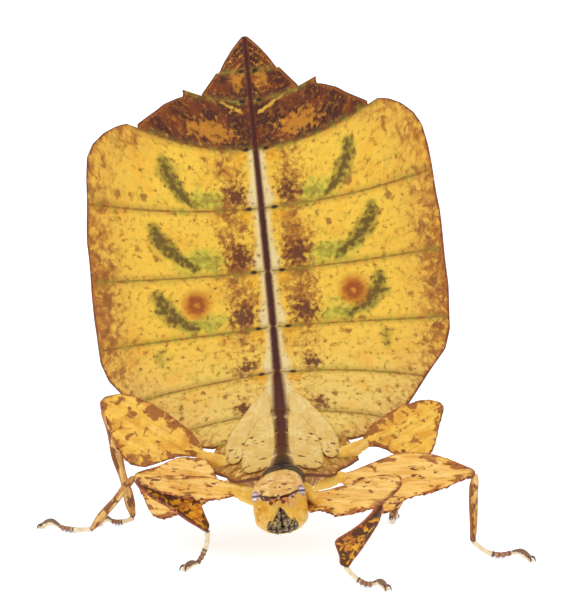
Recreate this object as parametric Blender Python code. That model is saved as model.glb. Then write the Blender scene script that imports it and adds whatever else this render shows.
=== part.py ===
"""A leaf insect: a yellow young female with wing buds, standing on six feet with the abdomen curled up.

The insect faces -Y, +X is its left side and +Z is up. Lengths below are millimetres; each finished mesh
is scaled to metres and moved so that the origin lies under the middle of the whole insect, on the floor.
"""

import math

import bpy
import numpy as np

METRES_PER_MM = 0.001
GAP = 0.3
ORIGIN = np.array([0.0365, 17.9208, 0.0])

# Body line: the middle of the back, from the front of the pronotum to the tip of the abdomen.
BACK_START = np.array([0.35, 3.2, 12.3])
BORDERS = {
    "prothorax": (0.0, 4.5),
    "mesothorax": (4.5, 13.5),
    "metathorax": (13.5, 19.0),
    "abdomen_segment_02": (19.0, 23.8),
    "abdomen_segment_03": (23.8, 31.0),
    "abdomen_segment_04": (31.0, 38.4),
    "abdomen_segment_05": (38.4, 46.6),
    "abdomen_segment_06": (46.6, 55.5),
    "abdomen_segment_07": (55.5, 63.8),
    "abdomen_segment_08": (63.8, 70.6),
    "abdomen_segment_09": (70.6, 74.8),
    "abdomen_segment_10": (74.8, 79.7),
}
BACK_LENGTH = 79.7
BACK_STEP = 0.1
RISE_SMOOTHING = 25
RISE_AT = (
    (0, 6), (4.5, 4), (13.5, 9), (19, 22), (23.8, 34), (31, 43), (38.4, 58), (46.6, 78), (55.5, 84), (79.7, 82),
)
LEAN_AT = ((0, 7), (4.5, 4), (19, 4), (31, 5.8), (79.7, 5.8))

# How fast each border bends towards the tip: its way on is this times the distance from the midline squared.
BORDER_BEND = {
    19.0: 0.0, 23.8: -0.0020, 31.0: -0.0032, 38.4: -0.0014, 46.6: 0.0015, 55.5: 0.0052, 63.8: 0.0176, 70.6: 0.030,
    74.8: 0.008,
}
# Half width at places along the side margin.
THORAX_WIDTH = (
    (4.5, 3.3), (5.4, 4.6), (6.6, 6.3), (8.0, 7.2), (10.0, 7.6), (12.5, 9.2), (14.5, 10.4), (16.2, 10.2), (19.0, 8.8),
)
LEAF_WIDTH = (
    (19.0, 9.8), (20.5, 12.4), (23.2, 15.6), (29.6, 20.4), (33.5, 23.6), (36.0, 24.5), (42.0, 24.9), (53.0, 24.9),
    (58.6, 24.4), (62.0, 24.1), (65.0, 23.6), (66.8, 22.6), (68.2, 21.0), (69.0, 19.2), (69.2, 18.0), (69.3, 16.4),
)
TAIL_WIDTH = {
    "abdomen_segment_08": ((69.0, 16.3), (70.7, 13.2), (71.4, 12.2), (72.0, 10.4), (72.2, 9.4)),
    "abdomen_segment_09": ((72.2, 6.8), (74.9, 4.4)),
    "abdomen_segment_10": ((74.9, 4.1), (76.4, 3.2), (78.0, 2.0), (79.2, 0.9), (79.7, 0.45)),
}
# Across the body: how the back falls or rises towards the margins, and how deep the body hangs below it.
CAMBER_AT = (
    (4.5, -0.05), (8.0, -0.036), (13.5, -0.022), (19, -0.016), (23.8, -0.010), (31, -0.004), (38.4, 0.0),
    (60, 0.0010),
)
DEPTH_AT = ((4.5, 3.9), (13.5, 3.7), (23.8, 2.8), (38.4, 2.1), (60, 1.5), (72, 0.8), (79.7, 0.1))
BODY_HALF_WIDTH_AT = ((4.5, 4.0), (13.5, 4.4), (23.8, 4.6), (60, 3.6), (72, 2.4), (79.7, 1.2))
RIM_THICKNESS = 0.6
RIDGE_HEIGHT = 0.45
RIDGE_HALF_WIDTH = 0.55
RIDGE_FADE = ((0, 1), (70, 1), (79, 0.3))
ACROSS = (0.0, 0.028, 0.07, 0.14, 0.25, 0.4, 0.57, 0.74, 0.88, 1.0)

# Head.
HEAD_CENTRE = np.array([0.0, 0.0, 9.9])
HEAD_SLOPE = 56.0
HEAD_LEAN = 8.0
HEAD_LENGTH = 8.0
# (way from the nape to the mouth, full width, full depth)
HEAD_RINGS = (
    (0.0, 3.4, 2.4), (0.05, 5.0, 3.8), (0.15, 6.3, 4.9), (0.3, 6.9, 5.4), (0.45, 7.0, 5.4), (0.62, 7.0, 5.0),
    (0.76, 6.8, 4.6), (0.88, 5.9, 3.8), (0.96, 4.8, 2.9), (1.0, 4.0, 2.2),
)
HEAD_SQUARENESS = 2.7
EYE_RADIUS = 0.62
# Places on the head: forward of its centre towards the mouth, to one side, and out of the face.
EYE_AT = (-0.8, 2.95, 1.1)
ANTENNA_ROOT = (0.78, 0.85, 2.15)
ANTENNA_WAY = (0.60, 0.05, 0.80)
ANTENNA_LENGTH = 2.8
ANTENNA_RADII = (0.45, 0.26)
MOUTH_ROOT, MOUTH_TIP = (1.5, 0.0, 2.2), (4.4, 0.0, 0.95)
MOUTH_RADII = (0.4, 1.05)
MOUTH_SPREAD = 1.5
PALP_ROOT, PALP_TIP = (2.5, 1.75, 2.0), (4.35, 2.05, 0.6)
PALP_RADII = (0.45, 0.38)

YELLOW = (0.86, 0.62, 0.13)
CREAM = (0.90, 0.74, 0.38)
BROWN = (0.30, 0.12, 0.04)
ORANGE = (0.66, 0.33, 0.07)
DARK = (0.10, 0.05, 0.03)


def clear_scene():
    for old in list(bpy.data.objects):
        bpy.data.objects.remove(old)


def unit(vector):
    return np.asarray(vector, float) / np.linalg.norm(vector)


def along(table, place):
    """The value at a place, read smoothly from pairs of place and value."""
    places, values = zip(*table)
    return np.interp(place, places, values)


def make_material(name, colour, roughness):
    material = bpy.data.materials.new(name)
    material.use_nodes = True
    shader = material.node_tree.nodes["Principled BSDF"]
    shader.inputs["Base Color"].default_value = (*colour, 1)
    shader.inputs["Roughness"].default_value = roughness
    shader.inputs["Metallic"].default_value = 0.0
    return material


def add_object(name, points, faces, colour=YELLOW, roughness=0.5):
    """A mesh object, still in millimetres."""
    mesh = bpy.data.meshes.new(name)
    mesh.from_pydata([tuple(p) for p in points], [], [tuple(f) for f in faces])
    mesh.materials.append(make_material(name + "_finish", colour, roughness))
    obj = bpy.data.objects.new(name, mesh)
    bpy.context.scene.collection.objects.link(obj)
    return obj


def ring_faces(rings, around):
    """Triangles of a tube of rings with a fan over each end, whose middles are the last two points."""
    faces = []
    for r in range(rings - 1):
        for i in range(around):
            a, b = r * around + i, r * around + (i + 1) % around
            faces += [(a, b, b + around), (a, b + around, a + around)]
    first, last = rings * around, rings * around + 1
    for i in range(around):
        j = (i + 1) % around
        faces.append((first, j, i))
        end = (rings - 1) * around
        faces.append((last, end + i, end + j))
    return faces


def add_tube(name, rings, colour=YELLOW, roughness=0.5):
    """A closed body through rings of points, each ring turning the same way round its line of travel."""
    rings = np.asarray(rings, float)
    points = np.concatenate([rings.reshape(-1, 3), [rings[0].mean(axis=0)], [rings[-1].mean(axis=0)]])
    faces = ring_faces(len(rings), rings.shape[1])
    if signed_volume(points, faces) < 0:
        faces = [face[::-1] for face in faces]
    return add_object(name, points, faces, colour, roughness)


def signed_volume(points, faces):
    corners = points[np.asarray(faces)]
    return float(np.einsum("ij,ij->i", corners[:, 0], np.cross(corners[:, 1], corners[:, 2])).sum())


def add_plate(name, top, bottom, colour=YELLOW, roughness=0.5):
    """A closed plate between two grids of points, cut into triangles alike on both faces."""
    rows, cols = top.shape[:2]
    points = np.concatenate([top.reshape(-1, 3), bottom.reshape(-1, 3)])
    under = rows * cols
    faces = []
    for r in range(rows - 1):
        for c in range(cols - 1):
            a, b, d, e = r * cols + c, r * cols + c + 1, (r + 1) * cols + c, (r + 1) * cols + c + 1
            pair = [(a, b, e), (a, e, d)] if c < (cols - 1) // 2 else [(a, b, d), (b, e, d)]
            faces += pair + [tuple(under + i for i in reversed(face)) for face in pair]
    rim = [c for c in range(cols)]
    rim += [r * cols + cols - 1 for r in range(1, rows)]
    rim += [(rows - 1) * cols + c for c in range(cols - 2, -1, -1)]
    rim += [r * cols for r in range(rows - 2, 0, -1)]
    for a, b in zip(rim, rim[1:] + rim[:1]):
        faces += [(b, a, under + a), (b, under + a, under + b)]
    if signed_volume(points, faces) < 0:
        faces = [face[::-1] for face in faces]
    return add_object(name, points, faces, colour, roughness)


def apply_boolean(obj, other, operation):
    """Cuts obj by other or joins the two, keeps the largest closed surface, and removes other."""
    modifier = obj.modifiers.new(operation.lower(), "BOOLEAN")
    modifier.operation = operation
    modifier.object = other
    graph = bpy.context.evaluated_depsgraph_get()
    mesh = bpy.data.meshes.new_from_object(obj.evaluated_get(graph))
    obj.modifiers.clear()
    obj.data = mesh
    bpy.data.objects.remove(other)
    keep_largest(obj)
    return obj


def keep_largest(obj):
    """Drops every loose scrap but the surface with the largest box."""
    mesh = obj.data
    parent = list(range(len(mesh.vertices)))

    def root(i):
        while parent[i] != i:
            parent[i] = parent[parent[i]]
            i = parent[i]
        return i

    for edge in mesh.edges:
        parent[root(edge.vertices[0])] = root(edge.vertices[1])
    groups = {}
    for vertex in mesh.vertices:
        groups.setdefault(root(vertex.index), []).append(vertex.co[:])
    if len(groups) < 2:
        return
    largest = max(groups, key=lambda key: np.ptp(np.array(groups[key]), axis=0).prod())
    kept = [v.index for v in mesh.vertices if root(v.index) == largest]
    place = {old: new for new, old in enumerate(kept)}
    points = [mesh.vertices[i].co[:] for i in kept]
    faces = [[place[i] for i in f.vertices] for f in mesh.polygons if f.vertices[0] in place]
    fresh = bpy.data.meshes.new(mesh.name)
    fresh.from_pydata(points, [], faces)
    fresh.materials.append(mesh.materials[0])
    obj.data = fresh


# The body line

def trace_back():
    """Points each step along the middle of the back, and the rise and lean there in radians."""
    places = np.arange(0, BACK_LENGTH + BACK_STEP / 2, BACK_STEP)
    window = 2 * RISE_SMOOTHING + 1
    rise = np.radians(along(RISE_AT, places))
    rise = np.convolve(np.pad(rise, RISE_SMOOTHING, mode="edge"), np.ones(window) / window, mode="valid")
    lean = np.radians(along(LEAN_AT, places))
    level, lift = np.cos(rise), np.sin(rise)
    step = BACK_STEP * np.stack([-lift * np.sin(lean), level, lift * np.cos(lean)], axis=1)
    points = BACK_START + np.concatenate([np.zeros((1, 3)), np.cumsum(step[:-1], axis=0)])
    return places, points, rise, lean


BACK = trace_back()


def back_frame(place):
    """Origin, direction towards the tip, direction to the insect's left, and direction out of the back."""
    places, points, rise, lean = BACK
    origin = np.array([np.interp(place, places, points[:, k]) for k in range(3)])
    if place > places[-1]:
        origin = points[-1] + (place - places[-1]) * (points[-1] - points[-2]) / BACK_STEP
    up_slope, roll = np.interp(place, places, rise), np.interp(place, places, lean)
    side = np.array([math.cos(roll), 0, math.sin(roll)])
    level, lift = math.cos(up_slope), math.sin(up_slope)
    out = np.array([-level * math.sin(roll), -lift, level * math.cos(roll)])
    return origin, np.cross(out, side), side, out


def back_point(place, across, height=0.0):
    """A point on the back or, with a height, that far above it."""
    origin, _, side, out = back_frame(place)
    ridge = RIDGE_HEIGHT * math.exp(-((across / RIDGE_HALF_WIDTH) ** 2)) * float(along(RIDGE_FADE, place))
    return origin + side * across + out * (ridge + float(along(CAMBER_AT, place)) * across**2 + height)


def belly_point(place, across, half_width, grow=0.0):
    origin, _, side, out = back_frame(place)
    body_half = float(along(BODY_HALF_WIDTH_AT, place))
    middle = float(along(DEPTH_AT, place)) * math.exp(-((across / body_half) ** 2))
    share = abs(across) / half_width
    rim = RIM_THICKNESS + 0.15 * (1 - share**2)
    return origin + side * across + out * (float(along(CAMBER_AT, place)) * across**2 - rim - middle - grow)


def body_plate(name, width_table, rows, trim_front=GAP / 2, grow=0.0, border=None, colour=YELLOW):
    """One ring of the body: its back, its belly and the thin leaf margin on either side."""
    front, back = BORDERS[border or name]
    trim_front, trim_back = trim_front - grow, GAP / 2 - grow
    bend_front, bend_back = BORDER_BEND.get(front, 0.0), BORDER_BEND.get(back, 0.0)
    sides = [-a for a in reversed(ACROSS[1:])] + list(ACROSS)
    top, bottom = [], []
    for r in range(rows + 1):
        share = r / rows
        middle = front + trim_front + share * (back - front - trim_front - trim_back)
        bend = bend_front + share * (bend_back - bend_front)
        half_width = margin_at(middle, bend, width_table) + grow
        places = [(middle + bend * (side * half_width) ** 2, side * half_width) for side in sides]
        top.append([back_point(place, across, grow) for place, across in places])
        bottom.append([belly_point(place, across, half_width, grow) for place, across in places])
    return add_plate(name, np.array(top), np.array(bottom), colour, 0.45)


def margin_at(middle, bend, width_table):
    """How far out a bent line across the body meets the side margin."""
    low, high = 0.0, 30.0
    for _ in range(40):
        half = (low + high) / 2
        if float(along(width_table, middle + bend * half**2)) > half:
            low = half
        else:
            high = half
    return low


def build_abdomen():
    for number, rows in ((2, 2), (3, 3), (4, 3), (5, 3), (6, 3), (7, 6), (8, 4), (9, 2), (10, 4)):
        name = f"abdomen_segment_{number:02d}"
        body_plate(name, TAIL_WIDTH.get(name, LEAF_WIDTH), rows, colour=BROWN if number > 7 else YELLOW)


def oval_ring(centre, side, up, half_width, half_height, around=16, power=2.3):
    ring = []
    for i in range(around):
        angle = 2 * math.pi * i / around
        c, s = math.cos(angle), math.sin(angle)
        ring.append(
            centre
            + side * half_width * math.copysign(abs(c) ** (2 / power), c)
            + up * half_height * math.copysign(abs(s) ** (2 / power), s)
        )
    return ring


def head_axes():
    """Directions from the nape to the mouth, to the insect's left, and out of the face."""
    slope, lean = math.radians(HEAD_SLOPE), math.radians(HEAD_LEAN)
    down_slope = np.array([0, -math.cos(slope), -math.sin(slope)])
    side = np.array([math.cos(lean), 0, math.sin(lean)])
    face = unit(np.cross(down_slope, side))
    return unit(np.cross(side, face)), side, face


def head_tube(name, grow=0.0):
    forward, side, face = head_axes()
    rings = []
    for way, width, depth in HEAD_RINGS:
        stretch = HEAD_LENGTH + 2 * grow
        centre = HEAD_CENTRE + forward * stretch * (way - 0.5)
        rings.append(oval_ring(centre, side, face, width / 2 + grow, depth / 2 + grow, 20, HEAD_SQUARENESS))
    return add_tube(name, rings, CREAM, 0.5)


def prothorax_tube(name, grow=0.0):
    front, back = BORDERS["prothorax"]
    rings = []
    shape = ((front - 0.8, 2.2, 3.0, 0.6), (front + 0.3, 2.6, 4.1, 0.75), (front + 2.0, 2.75, 4.7, 0.95),
             (back - GAP, 2.85, 4.8, 0.95))
    for place, half_width, depth, rise in shape:
        origin, _, side, out = back_frame(max(place, 0.0))
        origin = origin + np.array([0, min(place, 0.0), 0])
        middle = origin + out * (rise - depth / 2)
        rings.append(oval_ring(middle, side, out, half_width + grow, depth / 2 + grow))
    return add_tube(name, rings, DARK, 0.6)


def build_prothorax():
    prothorax = prothorax_tube("prothorax")
    apply_boolean(prothorax, head_tube("head_grown", GAP), "DIFFERENCE")


def build_thorax():
    body_plate("mesothorax", THORAX_WIDTH, 5, trim_front=GAP / 2 + 0.1)
    body_plate("metathorax", THORAX_WIDTH, 3)


def ellipsoid(name, centre, axes, radii, colour, around=14, bands=9):
    rings = []
    for b in range(1, bands):
        angle = math.pi * b / bands
        rings.append(
            oval_ring(centre - axes[0] * radii[0] * math.cos(angle), axes[1], axes[2],
                      radii[1] * math.sin(angle), radii[2] * math.sin(angle), around, 2.0)
        )
    obj = add_tube(name, rings, colour, 0.2)
    mesh = obj.data
    mesh.vertices[-2].co = centre - axes[0] * radii[0]
    mesh.vertices[-1].co = centre + axes[0] * radii[0]
    return obj


def on_head(place, sign=1):
    """A point from its distances forward of the head's centre, to one side and out of the face."""
    forward, side, face = head_axes()
    return HEAD_CENTRE + forward * place[0] + side * sign * place[1] + face * place[2]


def build_head():
    head = head_tube("head")
    axes = head_axes()
    for side_name, sign in (("left", 1), ("right", -1)):
        centre = on_head(EYE_AT, sign)
        socket = ellipsoid("socket", centre, axes, [EYE_RADIUS + GAP] * 3, DARK)
        apply_boolean(head, socket, "DIFFERENCE")
        ellipsoid("eye_" + side_name, centre, axes, [EYE_RADIUS] * 3, (0.45, 0.38, 0.45))
    build_face_parts()


def mouth_limb(name, grow=0.0):
    root, tip = on_head(MOUTH_ROOT), on_head(MOUTH_TIP)
    tip = tip + unit(tip - root) * grow
    radii = [radius + grow for radius in MOUTH_RADII]
    return tapered_limb(name, root, tip, radii, 12, DARK, widen=MOUTH_SPREAD)


def build_face_parts():
    for side_name, sign in (("left", 1), ("right", -1)):
        root = on_head(ANTENNA_ROOT, sign)
        way = unit(on_head(ANTENNA_WAY, sign) - HEAD_CENTRE)
        tip = root + way * ANTENNA_LENGTH
        antenna = tapered_limb("antenna_" + side_name, root, tip, ANTENNA_RADII, 8, ORANGE)
        apply_boolean(antenna, head_tube("head_grown", GAP), "DIFFERENCE")
        root, tip = on_head(PALP_ROOT, sign), on_head(PALP_TIP, sign)
        palp = tapered_limb("palps_" + side_name, root, tip, PALP_RADII, 8, DARK)
        apply_boolean(palp, head_tube("head_grown", GAP), "DIFFERENCE")
        apply_boolean(palp, mouth_limb("mouth_grown", GAP), "DIFFERENCE")
    apply_boolean(mouth_limb("mouthparts"), head_tube("head_grown", GAP), "DIFFERENCE")


def cross_axes(way, facing):
    """Two directions square to a line of travel: across the blade, and out of its face."""
    out = unit(facing - np.dot(facing, way) * way)
    return np.cross(way, out), out


def tapered_limb(name, start, end, radii, around=8, colour=YELLOW, widen=1.0):
    way = unit(end - start)
    across, out = cross_axes(way, np.array([0.1, -0.3, 1.0]))
    length = np.linalg.norm(end - start)
    rings = []
    for share in (0.0, 0.35, 0.7, 0.92, 1.0):
        radius = radii[0] + (radii[1] - radii[0]) * share
        if share == 1.0:
            radius *= 0.55
        centre = start + way * length * share
        rings.append(oval_ring(centre, across, out, radius * widen, radius, around, 2.0))
    return add_tube(name, rings, colour, 0.5)


# Legs

# Per leg: where the coxa springs from under the thorax, then hip, knee, ankle, and the way of the foot.
LEGS = {
    "fore_right": dict(
        root=(-1.6, 6.4, 9.6), hip=(-5.6, 5.2, 10.6), knee=(-19.0, 6.4, 11.6), ankle=(-9.6, 6.2, 4.9),
        foot=((-9.7, 6.6, 3.0), (-10.6, 6.3, 1.0), (-11.5, 5.0, 0.5), (-12.6, 3.6, 0.55)),
        face=(0.15, -0.75, 0.65), shape="plain", femur_up=1.6, femur_down=2.1,
        shin_face=(0.2, -1, 0.3), shin_up=2.9, shin_down=0.85,
    ),
    "fore_left": dict(
        root=(2.3, 6.4, 9.6), hip=(4.4, 1.2, 9.9), knee=(12.9, -8.0, 11.2), ankle=(8.4, -4.2, 2.3),
        foot=((9.6, -5.0, 1.2), (11.0, -5.8, 0.5), (12.6, -6.6, 0.6), (13.7, -8.1, 0.5)),
        face=(-0.45, -0.6, 0.66), shape="swept", femur_up=4.8, femur_down=2.1,
        shin_face=(0.25, -1, 0.1), shin_up=2.6, shin_down=1.2,
    ),
    "mid_right": dict(
        root=(-3.6, 12.2, 9.8), hip=(-8.0, 13.2, 9.3), knee=(-19.8, 20.6, 9.4), ankle=(-26.0, 26.6, 0.9),
        foot=((-28.0, 28.0, 0.55), (-30.0, 29.4, 0.5), (-31.8, 30.4, 0.85), (-33.4, 31.0, 0.5)),
        face=(0.25, -0.9, 0.35), shape="broad", femur_up=3.9, femur_down=4.7,
        shin_face=(0.2, -1, 0.3), shin_up=0.8, shin_down=0.7,
    ),
    "mid_left": dict(
        root=(4.4, 12.2, 10.2), hip=(8.0, 12.2, 10.9), knee=(26.0, 12.0, 11.4), ankle=(25.8, 12.4, 2.1),
        foot=((27.6, 12.2, 0.8), (29.4, 11.8, 0.5), (31.4, 11.3, 0.85), (33.4, 9.4, 0.5)),
        face=(0.0, -0.85, 0.5), shape="spurred", femur_up=3.45, femur_down=5.6,
        shin_face=(0.3, -1, 0.2), shin_up=0.85, shin_down=0.7,
    ),
    "hind_right": dict(
        root=(-5.2, 17.0, 10.8), hip=(-10.4, 19.4, 12.4), knee=(-24.4, 25.0, 19.2), ankle=(-20.6, 33.6, 1.1),
        foot=((-21.6, 33.8, 0.6), (-22.8, 33.6, 0.5), (-24.2, 33.2, 0.8), (-25.4, 32.8, 0.5)),
        face=(0.1, -0.93, 0.3), shape="hind", femur_up=3.0, femur_down=5.9,
        shin_face=(0.2, -1, 0.1), shin_up=0.9, shin_down=0.8,
    ),
    "hind_left": dict(
        root=(5.6, 17.0, 11.4), hip=(11.0, 19.6, 13.9), knee=(22.2, 27.0, 18.2), ankle=(15.4, 33.0, 1.2),
        foot=((15.6, 34.2, 0.6), (15.8, 35.4, 0.5), (16.0, 36.8, 0.8), (16.2, 38.0, 0.5)),
        face=(-0.1, -0.93, 0.3), shape="hind", femur_up=2.5, femur_down=5.9,
        shin_face=(-0.1, -1, 0.1), shin_up=0.9, shin_down=0.8,
    ),
}
# Share of the leaf's reach at shares of the femur's length, above and below its shaft.
PLAIN_UPPER = ((0, 0.45), (0.12, 0.7), (0.3, 0.92), (0.5, 1.0), (0.75, 0.85), (0.92, 0.4), (1, 0.2))
PLAIN_LOWER = ((0, 0.45), (0.1, 0.75), (0.3, 0.95), (0.5, 1.0), (0.75, 0.75), (0.92, 0.3), (1, 0.15))
FEMUR_SHAPES = {
    "plain": (PLAIN_UPPER, PLAIN_LOWER),
    "swept": (
        ((0, 0.2), (0.12, 0.3), (0.25, 0.4), (0.4, 0.58), (0.55, 0.78), (0.7, 0.94), (0.82, 1.0), (0.93, 0.92),
         (1, 0.7)),
        PLAIN_LOWER,
    ),
    "broad": (
        ((0, 0.2), (0.11, 0.5), (0.2, 0.95), (0.32, 1.0), (0.5, 0.95), (0.62, 0.82), (0.75, 0.52), (0.92, 0.3),
         (1, 0.18)),
        PLAIN_LOWER,
    ),
    "spurred": (
        ((0, 0.2), (0.08, 0.26), (0.2, 0.5), (0.33, 0.8), (0.42, 0.98), (0.57, 1.0), (0.7, 0.89), (0.82, 0.66),
         (0.97, 0.29), (1, 0.2)),
        ((0, 0.15), (0.12, 0.5), (0.26, 0.92), (0.34, 1.0), (0.42, 0.76), (0.5, 0.56), (0.62, 0.5), (0.76, 0.38),
         (0.87, 0.2), (1, 0.1)),
    ),
    "hind": (
        ((0, 0.2), (0.1, 0.55), (0.22, 0.82), (0.43, 0.97), (0.61, 1.0), (0.82, 0.86), (0.96, 0.42), (1, 0.25)),
        ((0, 0.1), (0.17, 0.24), (0.25, 0.54), (0.38, 0.92), (0.51, 1.0), (0.65, 0.87), (0.79, 0.56), (0.92, 0.28),
         (1, 0.12)),
    ),
}
SWEEP = {"swept": 0.8}
LOBED_SHIN = (
    ((0, 0.2), (0.2, 0.35), (0.5, 0.78), (0.7, 1.0), (0.86, 0.6), (1, 0.25)),
    ((0, 0.6), (0.25, 1.0), (0.6, 0.75), (1, 0.5)),
)
SLIM_SHIN = (((0, 0.65), (0.15, 0.95), (0.5, 1.0), (0.85, 0.85), (1, 0.65)),) * 2
FEMUR_STATIONS, SHIN_STATIONS = 18, 12
SHIN_SHAFT = 0.5
KNEE_SPACE = 0.2
COXA_RADII = (1.15, 0.75)
CLAW_RADII = (0.16, 0.1)
HIP_OVERLAP = 0.6 - GAP
SHAFT_RADIUS = 0.62
BLADE_EDGE = 0.28
SOLE_BAND = 0.22
TOOTH = 0.32


def blade(
    name, start, end, facing, shapes, reach, shaft, stations, teeth=0.0, sweep=0.0, grow=0.0, colour=YELLOW
):
    """A leg piece with a thin leaf on both sides of a round shaft, toothed along the leaf's edges.

    The leaf above the shaft sweeps on towards the far end, more the nearer it is to that end.
    """
    way = unit(end - start)
    across, out = cross_axes(way, np.asarray(facing, float))
    if across[2] < 0:
        across, out = -across, out
    length = np.linalg.norm(end - start)
    edge = BLADE_EDGE + grow
    rings = []
    for k in range(stations + 1):
        share = k / stations
        core = shaft * float(along(((0, 0.8), (0.1, 1), (0.85, 0.9), (1, 1.0)), share)) + grow
        notch = TOOTH * teeth * (k % 2) * (0.1 < share < 0.95)
        wide = [r * float(along(table, share)) - notch for r, table in zip(reach, shapes)]
        top, low = (max(w, core * 1.05) + grow for w in wide)
        centre = start + way * ((length + 2 * grow) * share - grow)
        thick = min(edge, core)
        half = [(top, thick * 0.7), (0.5 * (top + core), thick), (core * 0.8, core * 0.75), (0, core),
                (-core * 0.8, core * 0.75), (-0.5 * (low + core), thick), (-low, thick * 0.7)]
        ring = half + [(a, -b) for a, b in reversed(half)]
        rings.append([centre + across * a + out * b + way * sweep * share**4 * max(a, 0) for a, b in ring])
    return add_tube(name, rings, colour, 0.5)


def smooth_path(points, steps):
    """Points on a smooth curve through the given ones."""
    points = [np.asarray(p, float) for p in points]
    padded = [2 * points[0] - points[1]] + points + [2 * points[-1] - points[-2]]
    path = []
    for a, b, c, d in zip(padded, padded[1:], padded[2:], padded[3:]):
        for k in range(steps):
            t = k / steps
            bend, twist = 2 * a - 5 * b + 4 * c - d, 3 * b - a - 3 * c + d
            path.append(0.5 * (2 * b + (c - a) * t + bend * t**2 + twist * t**3))
    return path + [points[-1]]


def foot_tube(name, leg, grow=0.0):
    """The tarsus: five joints that swell at their ends, flat below where they meet the floor."""
    path = smooth_path([leg["ankle"]] + [np.asarray(p, float) for p in leg["foot"]], 4)
    rings = []
    for k, centre in enumerate(path):
        ahead = path[min(k + 1, len(path) - 1)] - path[max(k - 1, 0)]
        across, out = cross_axes(unit(ahead), np.array([0.02, 0.03, 1.0]))
        share = k / (len(path) - 1)
        swell = 0.44 + 0.09 * math.cos(share * math.pi * 8) + 0.14 * math.exp(-(((share - 0.82) / 0.12) ** 2))
        radius = swell * (0.55 if k == len(path) - 1 else 1.0) + grow
        ring = np.array(oval_ring(centre, across, out, radius, radius, 8, 2.0))
        if not grow:
            ring[:, 2] = np.where(ring[:, 2] < SOLE_BAND, 0.0, ring[:, 2])
        rings.append(ring)
    return add_tube(name, rings, CREAM, 0.5)


def build_claws(foot, leg):
    tip = np.asarray(leg["foot"][-1], float)
    way = unit(tip - np.asarray(leg["foot"][-2], float))
    flat = unit([way[0], way[1], 0])
    side = np.array([-flat[1], flat[0], 0])
    for sign in (1, -1):
        root = tip - flat * 0.25 + side * sign * 0.12 + np.array([0, 0, -0.08])
        end = root + flat * 0.85 + side * sign * 0.45 + np.array([0, 0, -0.12])
        claw = tapered_limb("claw", root, end, CLAW_RADII, 6, DARK)
        apply_boolean(foot, claw, "UNION")


def cut_by_body(coxa):
    """Trims a coxa to the thorax over it, with the gap between them."""
    apply_boolean(coxa, prothorax_tube("cutter", GAP), "DIFFERENCE")
    for border in ("mesothorax", "metathorax"):
        cutter = body_plate("cutter", THORAX_WIDTH, 4, grow=GAP, border=border)
        apply_boolean(coxa, cutter, "DIFFERENCE")


def build_leg(name, leg):
    root, hip, knee, ankle = (np.asarray(leg[key], float) for key in ("root", "hip", "knee", "ankle"))
    femur_way, shin_way = unit(knee - hip), unit(ankle - knee)
    fore, shape = name.startswith("fore"), leg["shape"]
    femur = dict(start=hip, end=knee, facing=leg["face"], shapes=FEMUR_SHAPES[shape], shaft=SHAFT_RADIUS,
                 reach=(leg["femur_up"], leg["femur_down"]), stations=FEMUR_STATIONS,
                 teeth=0.4 if shape == "hind" else 1.0, sweep=SWEEP.get(shape, 0.0))
    shin = dict(start=knee + shin_way * KNEE_SPACE, end=ankle, facing=leg["shin_face"], shaft=SHIN_SHAFT,
                shapes=LOBED_SHIN if fore else SLIM_SHIN, reach=(leg["shin_up"], leg["shin_down"]),
                stations=SHIN_STATIONS)
    blade("femur_" + name, **femur)
    tibia = blade("tibia_" + name, **shin, colour=ORANGE if fore else YELLOW)
    apply_boolean(tibia, blade("cutter", **femur, grow=GAP), "DIFFERENCE")
    coxa = tapered_limb("coxa_" + name, root, hip + femur_way * HIP_OVERLAP, COXA_RADII, 10)
    apply_boolean(coxa, blade("cutter", **femur, grow=GAP), "DIFFERENCE")
    cut_by_body(coxa)
    foot = foot_tube("tarsus_" + name, leg)
    apply_boolean(foot, blade("cutter", **shin, grow=GAP), "DIFFERENCE")
    build_claws(foot, leg)


# Wing pads: rows of place along the body, inner edge and outer edge. The hind pad lies round the fore pad.
FORE_PAD = (
    (5.0, 1.5, 3.2), (6.0, 1.15, 4.5), (8.5, 0.9, 5.4), (11.0, 0.9, 5.5), (14.0, 0.9, 5.4), (17.0, 0.9, 4.9),
    (20.0, 0.9, 4.0), (22.0, 1.0, 3.0), (22.7, 1.2, 2.0),
)
HIND_PAD = (
    (11.8, 6.0, 6.7), (13.0, 5.95, 7.4), (15.0, 5.7, 7.8), (17.5, 5.3, 7.7), (20.0, 4.5, 7.0), (22.0, 3.5, 6.0),
    (22.6, 3.2, 5.6), (23.3, 1.1, 5.2), (25.0, 1.1, 4.1), (26.5, 1.2, 2.9), (27.2, 1.4, 2.1),
)
PAD_THICKNESS = 0.55
PAD_LIFT = 0.5


def wing_pad(name, sign, rows):
    top, bottom = [], []
    for place, inner, outer in rows:
        shares = (0, 0.33, 0.67, 1)
        places = [sign * (inner + (outer - inner) * share) for share in shares]
        places = places if sign > 0 else places[::-1]
        bottom.append([back_point(place, x, PAD_LIFT) for x in places])
        top.append([back_point(place, x, PAD_LIFT + PAD_THICKNESS) for x in places])
    return add_plate(name, np.array(top), np.array(bottom), CREAM, 0.5)


def build_wing_pads():
    for side_name, sign in (("left", 1), ("right", -1)):
        wing_pad("hindwing_pad_" + side_name, sign, HIND_PAD)
        wing_pad("forewing_pad_" + side_name, sign, FORE_PAD)


def finish_objects():
    """Scales every mesh to metres, moves the origin under the middle of the insect and shades it smooth."""
    for obj in bpy.context.scene.objects:
        for vertex in obj.data.vertices:
            vertex.co = [(c - o) * METRES_PER_MM for c, o in zip(vertex.co, ORIGIN)]
        obj.data.shade_smooth()
        obj.data.set_sharp_from_angle(angle=math.radians(40))


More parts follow.
